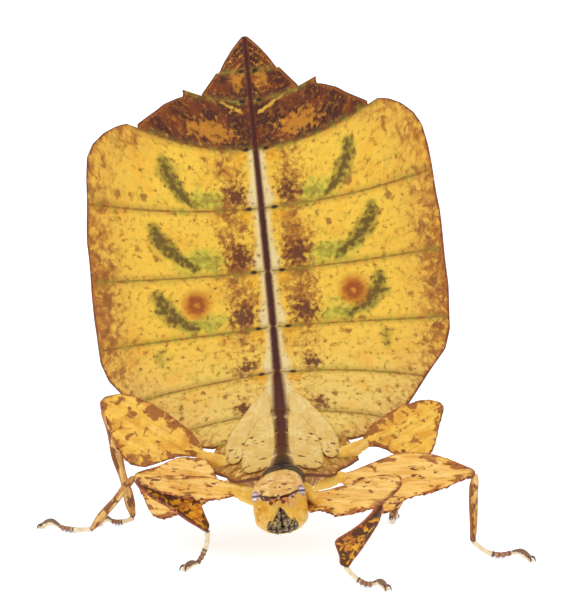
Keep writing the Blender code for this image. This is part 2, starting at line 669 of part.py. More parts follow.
def build_insect():
    clear_scene()
    build_head()
    build_prothorax()
    build_thorax()
    build_wing_pads()
    build_abdomen()
    for name, leg in LEGS.items():
        build_leg(name, leg)
    finish_objects()


build_insect()
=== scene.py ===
import math

import bpy
import numpy as np
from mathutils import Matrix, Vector


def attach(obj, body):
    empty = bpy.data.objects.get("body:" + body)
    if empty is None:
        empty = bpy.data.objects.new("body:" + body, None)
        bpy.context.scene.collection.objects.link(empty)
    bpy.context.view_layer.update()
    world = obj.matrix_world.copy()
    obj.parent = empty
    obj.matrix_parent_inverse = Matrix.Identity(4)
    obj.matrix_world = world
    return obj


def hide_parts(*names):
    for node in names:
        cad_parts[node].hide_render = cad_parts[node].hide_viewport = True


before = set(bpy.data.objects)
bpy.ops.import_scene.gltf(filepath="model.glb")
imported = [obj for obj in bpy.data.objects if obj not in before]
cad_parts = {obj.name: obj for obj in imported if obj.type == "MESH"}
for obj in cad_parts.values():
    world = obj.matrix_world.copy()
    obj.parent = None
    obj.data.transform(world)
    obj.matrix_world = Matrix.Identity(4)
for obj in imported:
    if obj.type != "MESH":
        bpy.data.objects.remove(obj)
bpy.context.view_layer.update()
print("frame loaded,", len(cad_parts), "nodes")

mm = 0.001
middle = np.array([0.0365, 17.9208, 0.0])  # the animal's own point, in millimetres, that stands over the origin


# Small helpers for shader nodes

def tone(code):
    # A screen colour such as "F3C94A" as the linear values that a shader takes.
    shares = [int(code[k:k + 2], 16) / 255 for k in (0, 2, 4)]
    return tuple(c / 12.92 if c <= 0.04045 else ((c + 0.055) / 1.055) ** 2.4 for c in shares)


def addNode(tree, kind, sources=(), **settings):
    made = tree.nodes.new(kind)
    for key, value in settings.items():
        setattr(made, key, value)
    for where, source in dict(sources).items():
        if isinstance(source, bpy.types.NodeSocket):
            tree.links.new(source, made.inputs[where])
        else:
            made.inputs[where].default_value = source
    return made


def calc(tree, operation, a, b=0.0, clamp=False):
    return addNode(tree, "ShaderNodeMath", {0: a, 1: b}, operation=operation, use_clamp=clamp).outputs[0]


def softStep(tree, value, low, high, start=0.0, end=1.0):
    made = addNode(tree, "ShaderNodeMapRange", {0: value, 1: low, 2: high, 3: start, 4: end})
    made.interpolation_type = "SMOOTHSTEP"
    return made.outputs[0]


def blendColour(tree, mask, under, over):
    made = tree.nodes.new("ShaderNodeMix")
    made.data_type = "RGBA"
    for where, source in ((0, mask), (6, under), (7, over)):
        if isinstance(source, bpy.types.NodeSocket):
            tree.links.new(source, made.inputs[where])
        else:
            made.inputs[where].default_value = (*source, 1) if isinstance(source, tuple) else source
    return made.outputs[2]


def grainNoise(tree, vector, scale, detail=3.0, roughness=0.55, distortion=0.0):
    sources = {"Vector": vector, "Scale": scale, "Detail": detail, "Roughness": roughness,
               "Distortion": distortion}
    return addNode(tree, "ShaderNodeTexNoise", sources).outputs[0]


def centred(tree, noise, spread):
    # The noise moved from around a half to around nothing.
    return calc(tree, "MULTIPLY", calc(tree, "SUBTRACT", noise, 0.5), spread)


def stain(tree, colour, field, low, high, strength, shade):
    # Lays the shade on where the field climbs from low to high.
    return blendColour(tree, softStep(tree, field, low, high, 0.0, strength), colour, tone(shade))


def overlay(tree, colour, mask, strength, shade):
    return blendColour(tree, calc(tree, "MULTIPLY", mask, strength), colour, tone(shade))


def stretched(tree, vector, factors):
    return addNode(tree, "ShaderNodeVectorMath", {0: vector, 1: factors}, operation="MULTIPLY").outputs[0]


def readField(tree, name, vector=False):
    made = addNode(tree, "ShaderNodeAttribute", attribute_name=name)
    return made.outputs["Vector"] if vector else made.outputs["Fac"]


def newGroup(name, inputs, outputs):
    group = bpy.data.node_groups.new(name, "ShaderNodeTree")
    for socket, kind, value in inputs:
        made = group.interface.new_socket(socket, in_out="INPUT", socket_type=kind)
        if value is not None:
            made.default_value = value
    for socket, kind in outputs:
        group.interface.new_socket(socket, in_out="OUTPUT", socket_type=kind)
    return group, group.nodes.new("NodeGroupInput"), group.nodes.new("NodeGroupOutput")


def useGroup(tree, group, **values):
    made = tree.nodes.new("ShaderNodeGroup")
    made.node_tree = group
    for key, value in values.items():
        socket = made.inputs[key]
        if isinstance(value, bpy.types.NodeSocket):
            tree.links.new(value, socket)
        else:
            socket.default_value = value
    return made


# Effects shared by the finishes. Every vector is in millimetres on the skin.

def makeBlotches():
    group, given, result = newGroup(
        "blotches",
        [("Place", "NodeSocketVector", None), ("Scale", "NodeSocketFloat", 1.0),
         ("Cover", "NodeSocketFloat", 0.3),
         ("Softness", "NodeSocketFloat", 0.05), ("Twist", "NodeSocketFloat", 0.6)],
        [("Mask", "NodeSocketFloat")])
    noise = grainNoise(group, given.outputs["Place"], given.outputs["Scale"], 2.5, 0.5, given.outputs["Twist"])
    spread = calc(group, "SUBTRACT", 0.75, calc(group, "MULTIPLY", given.outputs["Cover"], 0.5))
    low = calc(group, "SUBTRACT", spread, given.outputs["Softness"])
    high = calc(group, "ADD", spread, given.outputs["Softness"])
    group.links.new(softStep(group, noise, low, high), result.inputs["Mask"])
    return group


def makeFlecks():
    group, given, result = newGroup(
        "flecks",
        [("Place", "NodeSocketVector", None), ("Scale", "NodeSocketFloat", 1.0),
         ("Size", "NodeSocketFloat", 0.2),
         ("Share", "NodeSocketFloat", 0.5)],
        [("Mask", "NodeSocketFloat")])
    shake = addNode(group, "ShaderNodeTexNoise",
                    {"Vector": given.outputs["Place"], "Scale": 2.2, "Detail": 1.5})
    less = stretched(group, shake.outputs["Color"], (0.9, 0.9, 0.9))
    wobble = addNode(group, "ShaderNodeVectorMath", {0: given.outputs["Place"], 1: less}, operation="ADD")
    cells = addNode(group, "ShaderNodeTexVoronoi",
                    {"Vector": wobble.outputs[0], "Scale": given.outputs["Scale"]})
    dice = addNode(group, "ShaderNodeSeparateColor", {0: cells.outputs["Color"]})
    chosen = calc(group, "LESS_THAN", dice.outputs[0], given.outputs["Share"])
    grown = calc(group, "MULTIPLY", given.outputs["Size"], calc(group, "ADD", dice.outputs[1], 0.45))
    inner = calc(group, "MULTIPLY", grown, 0.55)
    dot = softStep(group, cells.outputs["Distance"], inner, grown, 1.0, 0.0)
    group.links.new(calc(group, "MULTIPLY", dot, chosen), result.inputs["Mask"])
    return group


def makeRimStain():
    group, given, result = newGroup(
        "rimStain",
        [("Place", "NodeSocketVector", None), ("Edge", "NodeSocketFloat", 1.0),
         ("Width", "NodeSocketFloat", 0.3),
         ("Breakup", "NodeSocketFloat", 0.5)],
        [("Mask", "NodeSocketFloat")])
    noise = grainNoise(group, given.outputs["Place"], 1.7, 3.0, 0.6)
    ragged = centred(group, noise, given.outputs["Breakup"])
    reach = calc(group, "ADD", given.outputs["Edge"], ragged)
    outer = calc(group, "MULTIPLY", given.outputs["Width"], 1.35)
    inner = calc(group, "MULTIPLY", given.outputs["Width"], 0.55)
    group.links.new(softStep(group, reach, inner, outer, 1.0, 0.0), result.inputs["Mask"])
    return group


def makeSkinGrain():
    group, given, result = newGroup(
        "skinGrain",
        [("Place", "NodeSocketVector", None), ("Fine", "NodeSocketFloat", 9.0),
         ("Base Roughness", "NodeSocketFloat", 0.45)],
        [("Height", "NodeSocketFloat"), ("Roughness", "NodeSocketFloat")])
    pits = addNode(group, "ShaderNodeTexVoronoi",
                   {"Vector": given.outputs["Place"], "Scale": given.outputs["Fine"]})
    folds = grainNoise(group, given.outputs["Place"], 1.3, 5.0, 0.65)
    height = calc(group, "ADD", calc(group, "MULTIPLY", pits.outputs["Distance"], 0.35), folds)
    worn = centred(group, folds, 0.35)
    group.links.new(height, result.inputs["Height"])
    group.links.new(calc(group, "ADD", given.outputs["Base Roughness"], worn, True), result.inputs["Roughness"])
    return group


def makeNetting():
    # Brown lines between rounded cells.
    group, given, result = newGroup(
        "netting",
        [("Place", "NodeSocketVector", None), ("Scale", "NodeSocketFloat", 1.5),
         ("Width", "NodeSocketFloat", 0.2)],
        [("Mask", "NodeSocketFloat")])
    shake = addNode(group, "ShaderNodeTexNoise",
                    {"Vector": given.outputs["Place"], "Scale": 1.2, "Detail": 1.5})
    less = stretched(group, shake.outputs["Color"], (1.4, 1.4, 1.4))
    wobble = addNode(group, "ShaderNodeVectorMath", {0: given.outputs["Place"], 1: less}, operation="ADD")
    cells = addNode(group, "ShaderNodeTexVoronoi",
                    {"Vector": wobble.outputs[0], "Scale": given.outputs["Scale"]},
                    feature="DISTANCE_TO_EDGE")
    group.links.new(softStep(group, cells.outputs[0], 0.0, given.outputs["Width"], 1.0, 0.0),
                    result.inputs["Mask"])
    return group


blotches = makeBlotches()
netting = makeNetting()
flecks = makeFlecks()
rimStain = makeRimStain()
skinGrain = makeSkinGrain()


def startMaterial(name):
    material = bpy.data.materials.new(name)
    material.use_nodes = True
    tree = material.node_tree
    return material, tree, tree.nodes["Principled BSDF"]


cuticle = {"shine": 0.25, "coatRoughness": 0.3, "glowReach": 0.0012, "thinGlowReach": 0.0010}


def finishMaterial(tree, shader, colour, place, roughness=0.45, bump=0.25, coat=0.08, fine=9.0, depth=0.06,
                   relief=0.0):
    grain = useGroup(tree, skinGrain, Place=place, Fine=fine)
    grain.inputs["Base Roughness"].default_value = roughness
    height = calc(tree, "ADD", grain.outputs["Height"], relief)
    raised = addNode(tree, "ShaderNodeBump", {"Strength": bump, "Distance": depth * mm, "Height": height})
    tree.links.new(colour, shader.inputs["Base Color"])
    tree.links.new(grain.outputs["Roughness"], shader.inputs["Roughness"])
    tree.links.new(raised.outputs["Normal"], shader.inputs["Normal"])
    shader.inputs["Specular IOR Level"].default_value = cuticle["shine"]
    shader.inputs["Coat Weight"].default_value = coat
    shader.inputs["Coat Roughness"].default_value = cuticle["coatRoughness"]


def letLightIn(shader, share, reach):
    # Thin cuticle lets some light through under its surface.
    shader.inputs["Subsurface Weight"].default_value = share
    shader.inputs["Subsurface Scale"].default_value = reach


# Small helpers for meshes. Shapes are worked out in the animal's own millimetres.

def at(table, place):
    places, values = zip(*table)
    return np.interp(place, places, values)


def bell(value, width):
    return np.exp(-((value / width) ** 2))


def smoothStepOf(value, low, high):
    share = np.clip((value - low) / (high - low), 0.0, 1.0)
    return share * share * (3.0 - 2.0 * share)


def roundOff(share):
    # The height of a quarter circle, from 0 at the edge to 1 at its radius and beyond.
    return np.sqrt(np.clip(1 - (1 - np.clip(share, 0, 1)) ** 2, 0, 1))


def ripple(x, y, scale, seed):
    # A smooth wavy field between about -1 and 1.
    rng = np.random.default_rng(seed)
    total = 0.0
    for _ in range(6):
        angle, phase = rng.uniform(0, 2 * math.pi), rng.uniform(0, 2 * math.pi)
        pitch = rng.uniform(0.6, 1.6) / scale
        total = total + np.sin((x * math.cos(angle) + y * math.sin(angle)) * pitch + phase)
    return total / 3.2


def strokeField(x, y, points, widths):
    # 1 on a line through the points, falling to 0 at the half width that each point has.
    field = np.zeros(np.broadcast(x, y).shape)
    for (x0, y0), (x1, y1), w0, w1 in zip(points, points[1:], widths, widths[1:]):
        share = ((x - x0) * (x1 - x0) + (y - y0) * (y1 - y0)) / ((x1 - x0) ** 2 + (y1 - y0) ** 2)
        share = np.clip(share, 0, 1)
        away = np.hypot(x - x0 - share * (x1 - x0), y - y0 - share * (y1 - y0))
        field = np.maximum(field, 1 - away / (w0 + share * (w1 - w0)))
    return np.clip(field, 0, 1)


def patchField(x, y, centre, reach):
    # 1 in the middle of an oval patch, 0 at its edge.
    return np.clip(1 - np.hypot((x - centre[0]) / reach[0], (y - centre[1]) / reach[1]), 0, 1)


def meshOf(name, points, faces, material):
    mesh = bpy.data.meshes.new(name)
    mesh.from_pydata((np.asarray(points) - middle) * mm, [], faces)
    mesh.materials.append(material)
    mesh.update()
    mesh.shade_smooth()
    piece = bpy.data.objects.new(name, mesh)
    bpy.context.scene.collection.objects.link(piece)
    return piece


def loftFaces(rows, around):
    # Quads of a tube of closed rings, and one round face over each end.
    r, i = np.meshgrid(np.arange(rows - 1), np.arange(around), indexing="ij")
    a, b = r * around + i, r * around + (i + 1) % around
    faces = np.stack([a, b, b + around, a + around], axis=-1).reshape(-1, 4).tolist()
    faces.append(list(reversed(range(around))))
    faces.append([(rows - 1) * around + k for k in range(around)])
    return faces


def facingOut(points, faces):
    # Turns the faces round if the body they close is inside out.
    volume, centre = 0.0, points.mean(axis=0)
    for face in faces[::7]:
        first, second, third = (points[k] for k in face[:3])
        volume += float(np.dot(first - centre, np.cross(second - first, third - first)))
    return faces if volume > 0 else [face[::-1] for face in faces]


def loft(name, rings, material, fields=None):
    # A closed skin through rings of points. Each field holds one value or one vector per ring point.
    rings = np.asarray(rings, float)
    points = rings.reshape(-1, 3)
    piece = meshOf(name, points, facingOut(points, loftFaces(rings.shape[0], rings.shape[1])), material)
    setFields(piece, fields or {})
    return piece


def setFields(piece, fields):
    for key, values in fields.items():
        values = np.asarray(values, np.float32)
        isVector = values.size == len(piece.data.vertices) * 3
        field = piece.data.attributes.new(key, "FLOAT_VECTOR" if isVector else "FLOAT", "POINT")
        field.data.foreach_set("vector" if isVector else "value", values.reshape(-1))


def dress(piece, slot, *nodes):
    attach(piece, "root")
    if nodes:
        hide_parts(*nodes)
    return piece


# The body line: the middle of the back from the front of the pronotum to the tip of the abdomen

bodyLine = {
    "start": (0.35, 3.2, 12.3),
    "length": 79.7,
    "step": 0.1,
    "smoothSteps": 25,  # steps on each side over which the rise is evened out
    "rise": (  # degrees at places along the back, as the lean is
        (0, 6), (4.5, 4), (13.5, 9), (19, 22), (23.8, 34),
        (31, 43), (38.4, 58), (46.6, 78), (55.5, 84), (79.7, 82),
    ),
    "lean": ((0, 7), (4.5, 4), (19, 4), (31, 5.8), (79.7, 5.8)),
    "camber": (
        (4.5, -0.05), (8, -0.036), (13.5, -0.022), (19, -0.016),
        (23.8, -0.010), (31, -0.004), (38.4, 0.0), (60, 0.0010),
    ),
}


def traceBack():
    places = np.arange(0, bodyLine["length"] + bodyLine["step"] / 2, bodyLine["step"])
    rise = np.radians(at(bodyLine["rise"], places))
    window = 2 * bodyLine["smoothSteps"] + 1
    padded = np.pad(rise, bodyLine["smoothSteps"], mode="edge")
    rise = np.convolve(padded, np.ones(window) / window, mode="valid")
    lean = np.radians(at(bodyLine["lean"], places))
    way = np.stack([-np.sin(rise) * np.sin(lean), np.cos(rise), np.sin(rise) * np.cos(lean)], axis=1)
    moved = np.cumsum(way[:-1] * bodyLine["step"], axis=0)
    return places, np.asarray(bodyLine["start"]) + np.concatenate([np.zeros((1, 3)), moved]), rise, lean


backPlaces, backLine, backRise, backLean = traceBack()


def onBack(place, across, height):
    # Points above the back line, for arrays of places, distances to the animal's left and heights.
    place, across, height = np.broadcast_arrays(place, across, height)
    over = np.clip(place - backPlaces[-1], 0, None)[..., None]
    origin = np.stack([np.interp(place, backPlaces, backLine[:, k]) for k in range(3)], axis=-1)
    origin = origin + over * (backLine[-1] - backLine[-2]) / bodyLine["step"]
    rise, lean = np.interp(place, backPlaces, backRise), np.interp(place, backPlaces, backLean)
    side = np.stack([np.cos(lean), np.zeros_like(lean), np.sin(lean)], axis=-1)
    out = np.stack([-np.cos(rise) * np.sin(lean), -np.sin(rise), np.cos(rise) * np.cos(lean)], axis=-1)
    lift = height + at(bodyLine["camber"], place) * across**2
    return origin + side * across[..., None] + out * lift[..., None]


# One skin for the thorax and the whole leaf of the abdomen, from under the collar to the tip

body = {
    "borders": (4.3, 13.5, 19.0, 23.8, 31.0, 38.4, 46.6, 55.5, 63.8, 70.6, 74.8, 79.7),
    "borderBend": (0, 0, 0, -0.0020, -0.0032, -0.0014, 0.0015, 0.0052, 0.0176, 0.030, 0.008, 0),
    "thoraxWidth": (
        (4.3, 3.2), (4.5, 3.4), (5.4, 4.6), (6.6, 6.2), (8.0, 7.1),
        (10.0, 7.7), (12.5, 9.2), (14.5, 10.3), (16.2, 10.1), (19.0, 8.9),
    ),
    "leafWidth": (
        (19.0, 9.7), (20.5, 12.3), (23.2, 15.6), (29.6, 20.4), (33.5, 23.6), (36.0, 24.5),
        (42.0, 24.9), (53.0, 24.9), (58.6, 24.4), (62.0, 24.1), (65.0, 23.6),
        (66.8, 22.6), (68.2, 21.0), (69.0, 19.2), (69.2, 18.0), (69.3, 16.6),
    ),
    "eighthWidth": ((69.0, 16.2), (70.7, 13.2), (71.4, 12.2), (72.0, 10.4), (72.2, 9.4)),
    "ninthWidth": ((72.2, 6.8), (74.9, 4.5)),
    "tenthWidth": ((74.9, 4.1), (76.4, 3.2), (78.0, 2.0), (79.2, 0.9), (79.7, 0.35)),
    "beltDepth": ((4.5, 3.9), (13.5, 3.7), (23.8, 2.8), (38.4, 2.1), (60, 1.5), (72, 0.8), (79.7, 0.1)),
    "bellyHalfWidth": ((4.5, 4.0), (13.5, 4.4), (23.8, 4.6), (60, 3.6), (72, 2.4), (79.7, 1.2)),
    "widthFrom": {
        4.3: "thoraxWidth", 19.0: "leafWidth", 63.8: "eighthWidth", 70.6: "ninthWidth", 74.8: "tenthWidth",
    },
    "widest": 30.0,
    "stripHalfWidth": (
        (4.5, 1.5), (6, 1.25), (9, 0.85), (17, 0.78), (24, 0.82),
        (29, 0.62), (34, 0.46), (55, 0.40), (79, 0.24),
    ),
    "stripNotches": (9.3, 18.3, 22.0, 31.0, 38.4, 46.6),
    "notch": (0.32, 0.45),  # half length, and share of the strip's width that it takes
    "marginWave": (0.10, 1.6),  # height and pitch of the waves, here and in the next two
    "hemWave": (0.22, 2.6),
    "swellWave": (0.13, 5.0),
    "sheetDrop": 0.3,
    "humps": ((0.28, 4.4), (0.35, 2.2)),  # height and half width of the wide and the narrow hump of the thorax
    "seamGroove": (0.13, 0.26),
    "puff": 0.16,
    "bellyCrease": (0.10, 0.4),
    "ridgeHeight": 0.45,
    "edgeThickness": 0.42,
    "edgeRadius": 0.3,
    "rowStep": 0.3,
    "topShares": 76,
    "bellyShares": 26,
}


def widthTable(first):
    # The table that holds from the last border with a table of its own.
    return body[body["widthFrom"][max(place for place in body["widthFrom"] if place <= first)]]


def bodyRows():
    # The places of the skin's rows, how far each bends with the distance from the midline, and its half width.
    rows = []
    for first, last in zip(body["borders"], body["borders"][1:]):
        places = np.linspace(first + 0.05, last - 0.05, max(3, round((last - first) / body["rowStep"])))
        if last == body["borders"][-1]:
            places = np.append(places, last)
        bend = np.interp(places, body["borders"], body["borderBend"])
        low, high = np.zeros(len(places)), np.full(len(places), body["widest"])
        for _ in range(40):
            half = (low + high) / 2
            wide = at(widthTable(first), places + bend * half**2) > half
            low, high = np.where(wide, half, low), np.where(wide, high, half)
        rows += list(zip(places, bend, low))
    return np.array(rows)


def spreadShares(count, power):
    # Shares from 0 to 1, close together at both ends.
    steps = np.linspace(0, 1, count + 1)
    near = steps**power / (steps**power + (1 - steps) ** power)
    return 0.55 * near + 0.45 * steps


def stripHalf(place):
    long, deep = body["notch"]
    notches = sum(bell(place - notch, long) for notch in body["stripNotches"])
    return at(body["stripHalfWidth"], place) * (1 - deep * notches)


def bodySection(rows):
    # Distances from the midline and heights over the back line, for every point of every ring.
    place, half = rows[:, 0:1], rows[:, 2:3]
    high, pitch = body["marginWave"]
    wave = [high * ripple(place, np.array([[side]]), pitch, 21) * smoothStepOf(half, 8, 20)
            for side in (-40.0, 40.0)]
    share = spreadShares(body["topShares"], 1.5)
    top = np.concatenate([-share[::-1], share[1:]])[None, :]
    low = np.linspace(0, 1, body["bellyShares"] + 1) ** 0.9
    under = np.concatenate([low[::-1], -low[1:]])[1:-1][None, :]
    across = np.concatenate([top, under], axis=1)
    reach = np.where(across < 0, half + wave[0], half + wave[1])
    x = across * reach
    return x, reach - np.abs(x), top.shape[1]


def bodyHeights(x, edge, place, topCount):
    toBorder = np.min(np.abs(place[..., None] - np.array(body["borders"][1:-1])), axis=-1) + 0 * x
    strip = stripHalf(place)
    rounded = roundOff(edge / body["edgeRadius"])
    half = np.abs(x) + edge
    high, pitch = body["hemWave"]
    hem = high * ripple(x, place, pitch, 8) * smoothStepOf(np.abs(x) / half, 0.75, 1)
    hem = hem * smoothStepOf(half, 8, 16)
    high, pitch = body["swellWave"]
    swell = high * ripple(x, place, pitch, 3) * smoothStepOf(np.abs(x), 2, 7) * smoothStepOf(half, 6, 16)
    sheet = -body["sheetDrop"] + hem + swell
    ridge = body["ridgeHeight"] * bell(x, strip * 1.1 + 0.12) * at(((0, 1), (70, 1), (79, 0.3)), place)
    ridge = ridge * (1 - 0.45 * bell(toBorder, 0.3))
    (wideHump, wideHalf), (narrowHump, narrowHalf) = body["humps"]
    core = wideHump * bell(x, wideHalf) + narrowHump * bell(x, narrowHalf) * smoothStepOf(place, 18, 8)
    deep, wide = body["seamGroove"]
    groove = deep * bell(toBorder, wide) * smoothStepOf(np.abs(x), 0.5, 1.4) * smoothStepOf(edge, 0, 1.0)
    puffed = body["puff"] * smoothStepOf(toBorder, 0, 1.6) * smoothStepOf(edge, 0.3, 3)
    raised = smoothStepOf(edge, 0, 0.8) * (ridge + core - groove + puffed)
    upper = sheet + body["edgeThickness"] / 2 * rounded + raised
    deep, wide = body["bellyCrease"]
    belly = at(body["beltDepth"], place) * bell(x, at(body["bellyHalfWidth"], place))
    depth = belly * (1 - deep * bell(toBorder, wide))
    lower = sheet - body["edgeThickness"] / 2 * rounded - smoothStepOf(edge, 0, 2.0) * (0.25 + depth)
    topSide = np.arange(x.shape[1])[None, :] < topCount
    return np.where(topSide, upper, lower), toBorder


marks = {
    "crescents": (  # segment's front border, length, stroke width, points (from midline, share of length)
        (55.5, 8.3, 0.95, ((12.9, 0.68), (12.7, 0.52), (11.4, 0.30), (10.2, 0.16), (9.4, 0.09))),
        (46.6, 8.9, 1.05, ((15.3, 0.72), (14.9, 0.58), (13.4, 0.40), (11.7, 0.26), (10.2, 0.13))),
        (38.4, 8.2, 1.1, ((15.6, 0.70), (15.1, 0.54), (13.8, 0.36), (12.3, 0.24), (10.8, 0.13))),
    ),
    "crescentHalfWidths": (1.3, 1.9, 1.75, 1.1, 0.75),
    "faintSmear": ((15.8, 35.8), (1.9, 2.5)),
    "green": (  # middle and reach of each patch
        ((7.4, 56.9), (4.6, 2.3)), ((8.9, 48.6), (6.2, 2.7)),
        ((9.2, 40.0), (5.4, 2.3)), ((8.6, 32.2), (4.0, 1.8)),
    ),
    "blotchesLeft": ((3.9, 57.5, 2.7), (4.3, 48.8, 3.2), (4.6, 40.5, 3.2), (5.0, 32.3, 2.2), (5.6, 25.2, 2.0)),
    "blotchesRight": ((3.4, 57.5, 2.7), (3.6, 48.8, 3.1), (3.9, 40.4, 3.2), (4.2, 32.3, 2.2), (5.1, 25.2, 2.0)),
    "greenStrengths": (1.0, 1.0, 0.9, 0.45),
    "mottleMiddle": (
        (5, 0.5), (14, 0.7), (19, 0.5), (26, 0.3), (34, 0.4),
        (39, 0.75), (44, 1), (50, 1), (55, 0.85), (60, 0.7),
    ),
    "mottleMargin": (
        (5, 0.9), (17, 0.9), (20, 0.3), (31, 0.35), (37, 0.7),
        (42, 1), (47, 0.95), (52, 0.65), (58, 0.5), (64, 0.6),
    ),
    "mottleBand": (4.2, 2.5),  # middle and half width of the inner mottled band
    "amber": ((2.3, -1.0), (1.8, 1.7)),  # place from the midline and from each border, and reach
    "nick": ((-21.6, 67.3), (1.9, 1.9)),
    "pale": (40, 24),  # where this starts and is full, on the way forward, here and in the next two
    "ink": (8.6, 6.9),
    "sheen": (33, 24),
}


def bodyMarks(x, place, edge):
    # Soft fields that say where each marking lies, for the finish to break up.
    far = np.abs(x)
    olive = np.zeros_like(x)
    for front, long, wide, points in marks["crescents"]:
        line = [(across, front + share * long) for across, share in points]
        widths = [wide * halfWidth for halfWidth in marks["crescentHalfWidths"]]
        olive = np.maximum(olive, strokeField(far, place, line, widths))
    olive = np.maximum(olive, 0.45 * patchField(far, place, *marks["faintSmear"]))
    green = np.zeros_like(x)
    for (centre, reach), strength in zip(marks["green"], marks["greenStrengths"]):
        green = np.maximum(green, strength * patchField(far, place, centre, reach))
    blotch = np.zeros_like(x)
    for side, spots in ((1, marks["blotchesLeft"]), (-1, marks["blotchesRight"])):
        for across, along, radius in spots:
            blotch = np.maximum(blotch, patchField(x, place, (side * across, along), (radius, radius)))
    band, halfBand = marks["mottleBand"]
    nearMiddle = at(marks["mottleMiddle"], place) * bell(far - band, halfBand)
    nearEdge = at(marks["mottleMargin"], place) * smoothStepOf(edge, 6.5, 1.0)
    mottle = 0.95 * np.maximum(nearMiddle, nearEdge) + 0.10
    borders = np.array(body["borders"])
    toFront = place - borders[np.clip(np.searchsorted(borders, place) - 1, 0, 10)]
    offBelt = far - 1.15 - 0.7 * bell(toFront - 1.4, 1.6) - 0.6 * smoothStepOf(place, 34, 26)
    cream = smoothStepOf(offBelt, 0.9, -0.7)
    (aside, before), reach = marks["amber"]
    amber = np.max([patchField(far, place, (aside, line + before), reach) for line in borders[3:10]], axis=0)
    pale = smoothStepOf(place, *marks["pale"])
    nick = patchField(x, place, *marks["nick"])
    ink = smoothStepOf(place + 0.25 * ripple(x, place, 0.4, 17), *marks["ink"])
    sheen = bell(x / stripHalf(place), 0.5) * smoothStepOf(place, *marks["sheen"])
    return {"olive": olive, "green": green, "blotch": blotch, "mottle": mottle, "cream": cream, "pale": pale,
            "nick": nick, "amber": amber, "ink": ink, "sheen": sheen}


leafLook = {
    "middle": "E9BD3F", "outer": "DDAA3E", "pale": "E6C468", "shade": "CF962E", "warm": "E2A22A",
    "green": "B9B43A", "olive": "5E4410", "oliveSoft": "8C7A1E", "mottle": "A05C1C", "patch": "7E4014",
    "fleck": "8A4A16", "cream": "E0CC96",
    "blotch": "5A2A10", "ring": "C0700E", "ringCore": "8E3E08", "ringDot": "CC8A18", "amber": "DD9A14",
    "line": "8A5412", "lineOlive": "8E7A20", "rim": "5E260E", "rimSoft": "A8621E", "strip": "3E1105",
    "stripEdge": "722A10", "ink": "241008", "sheen": "6A3426", "dot": "1E0E06",
    "tail": "76330B", "tailDark": "451805", "tailGlow": "C07C1E", "bar": "DDAA3A",
    "eyespots": ((-10.4, 42.8, 0.0), (11.7, 42.8, 0.0)),
    "eyespotRings": (  # where the ring fades in and out, strength and shade
        (1.2, 2.7, 0.9, "ring"), (0.8, 1.7, 0.85, "ringCore"), (0.15, 0.60, 0.8, "ringDot"),
    ),
    "underShift": 30.0,  # moves the underside to another part of the mottling
}


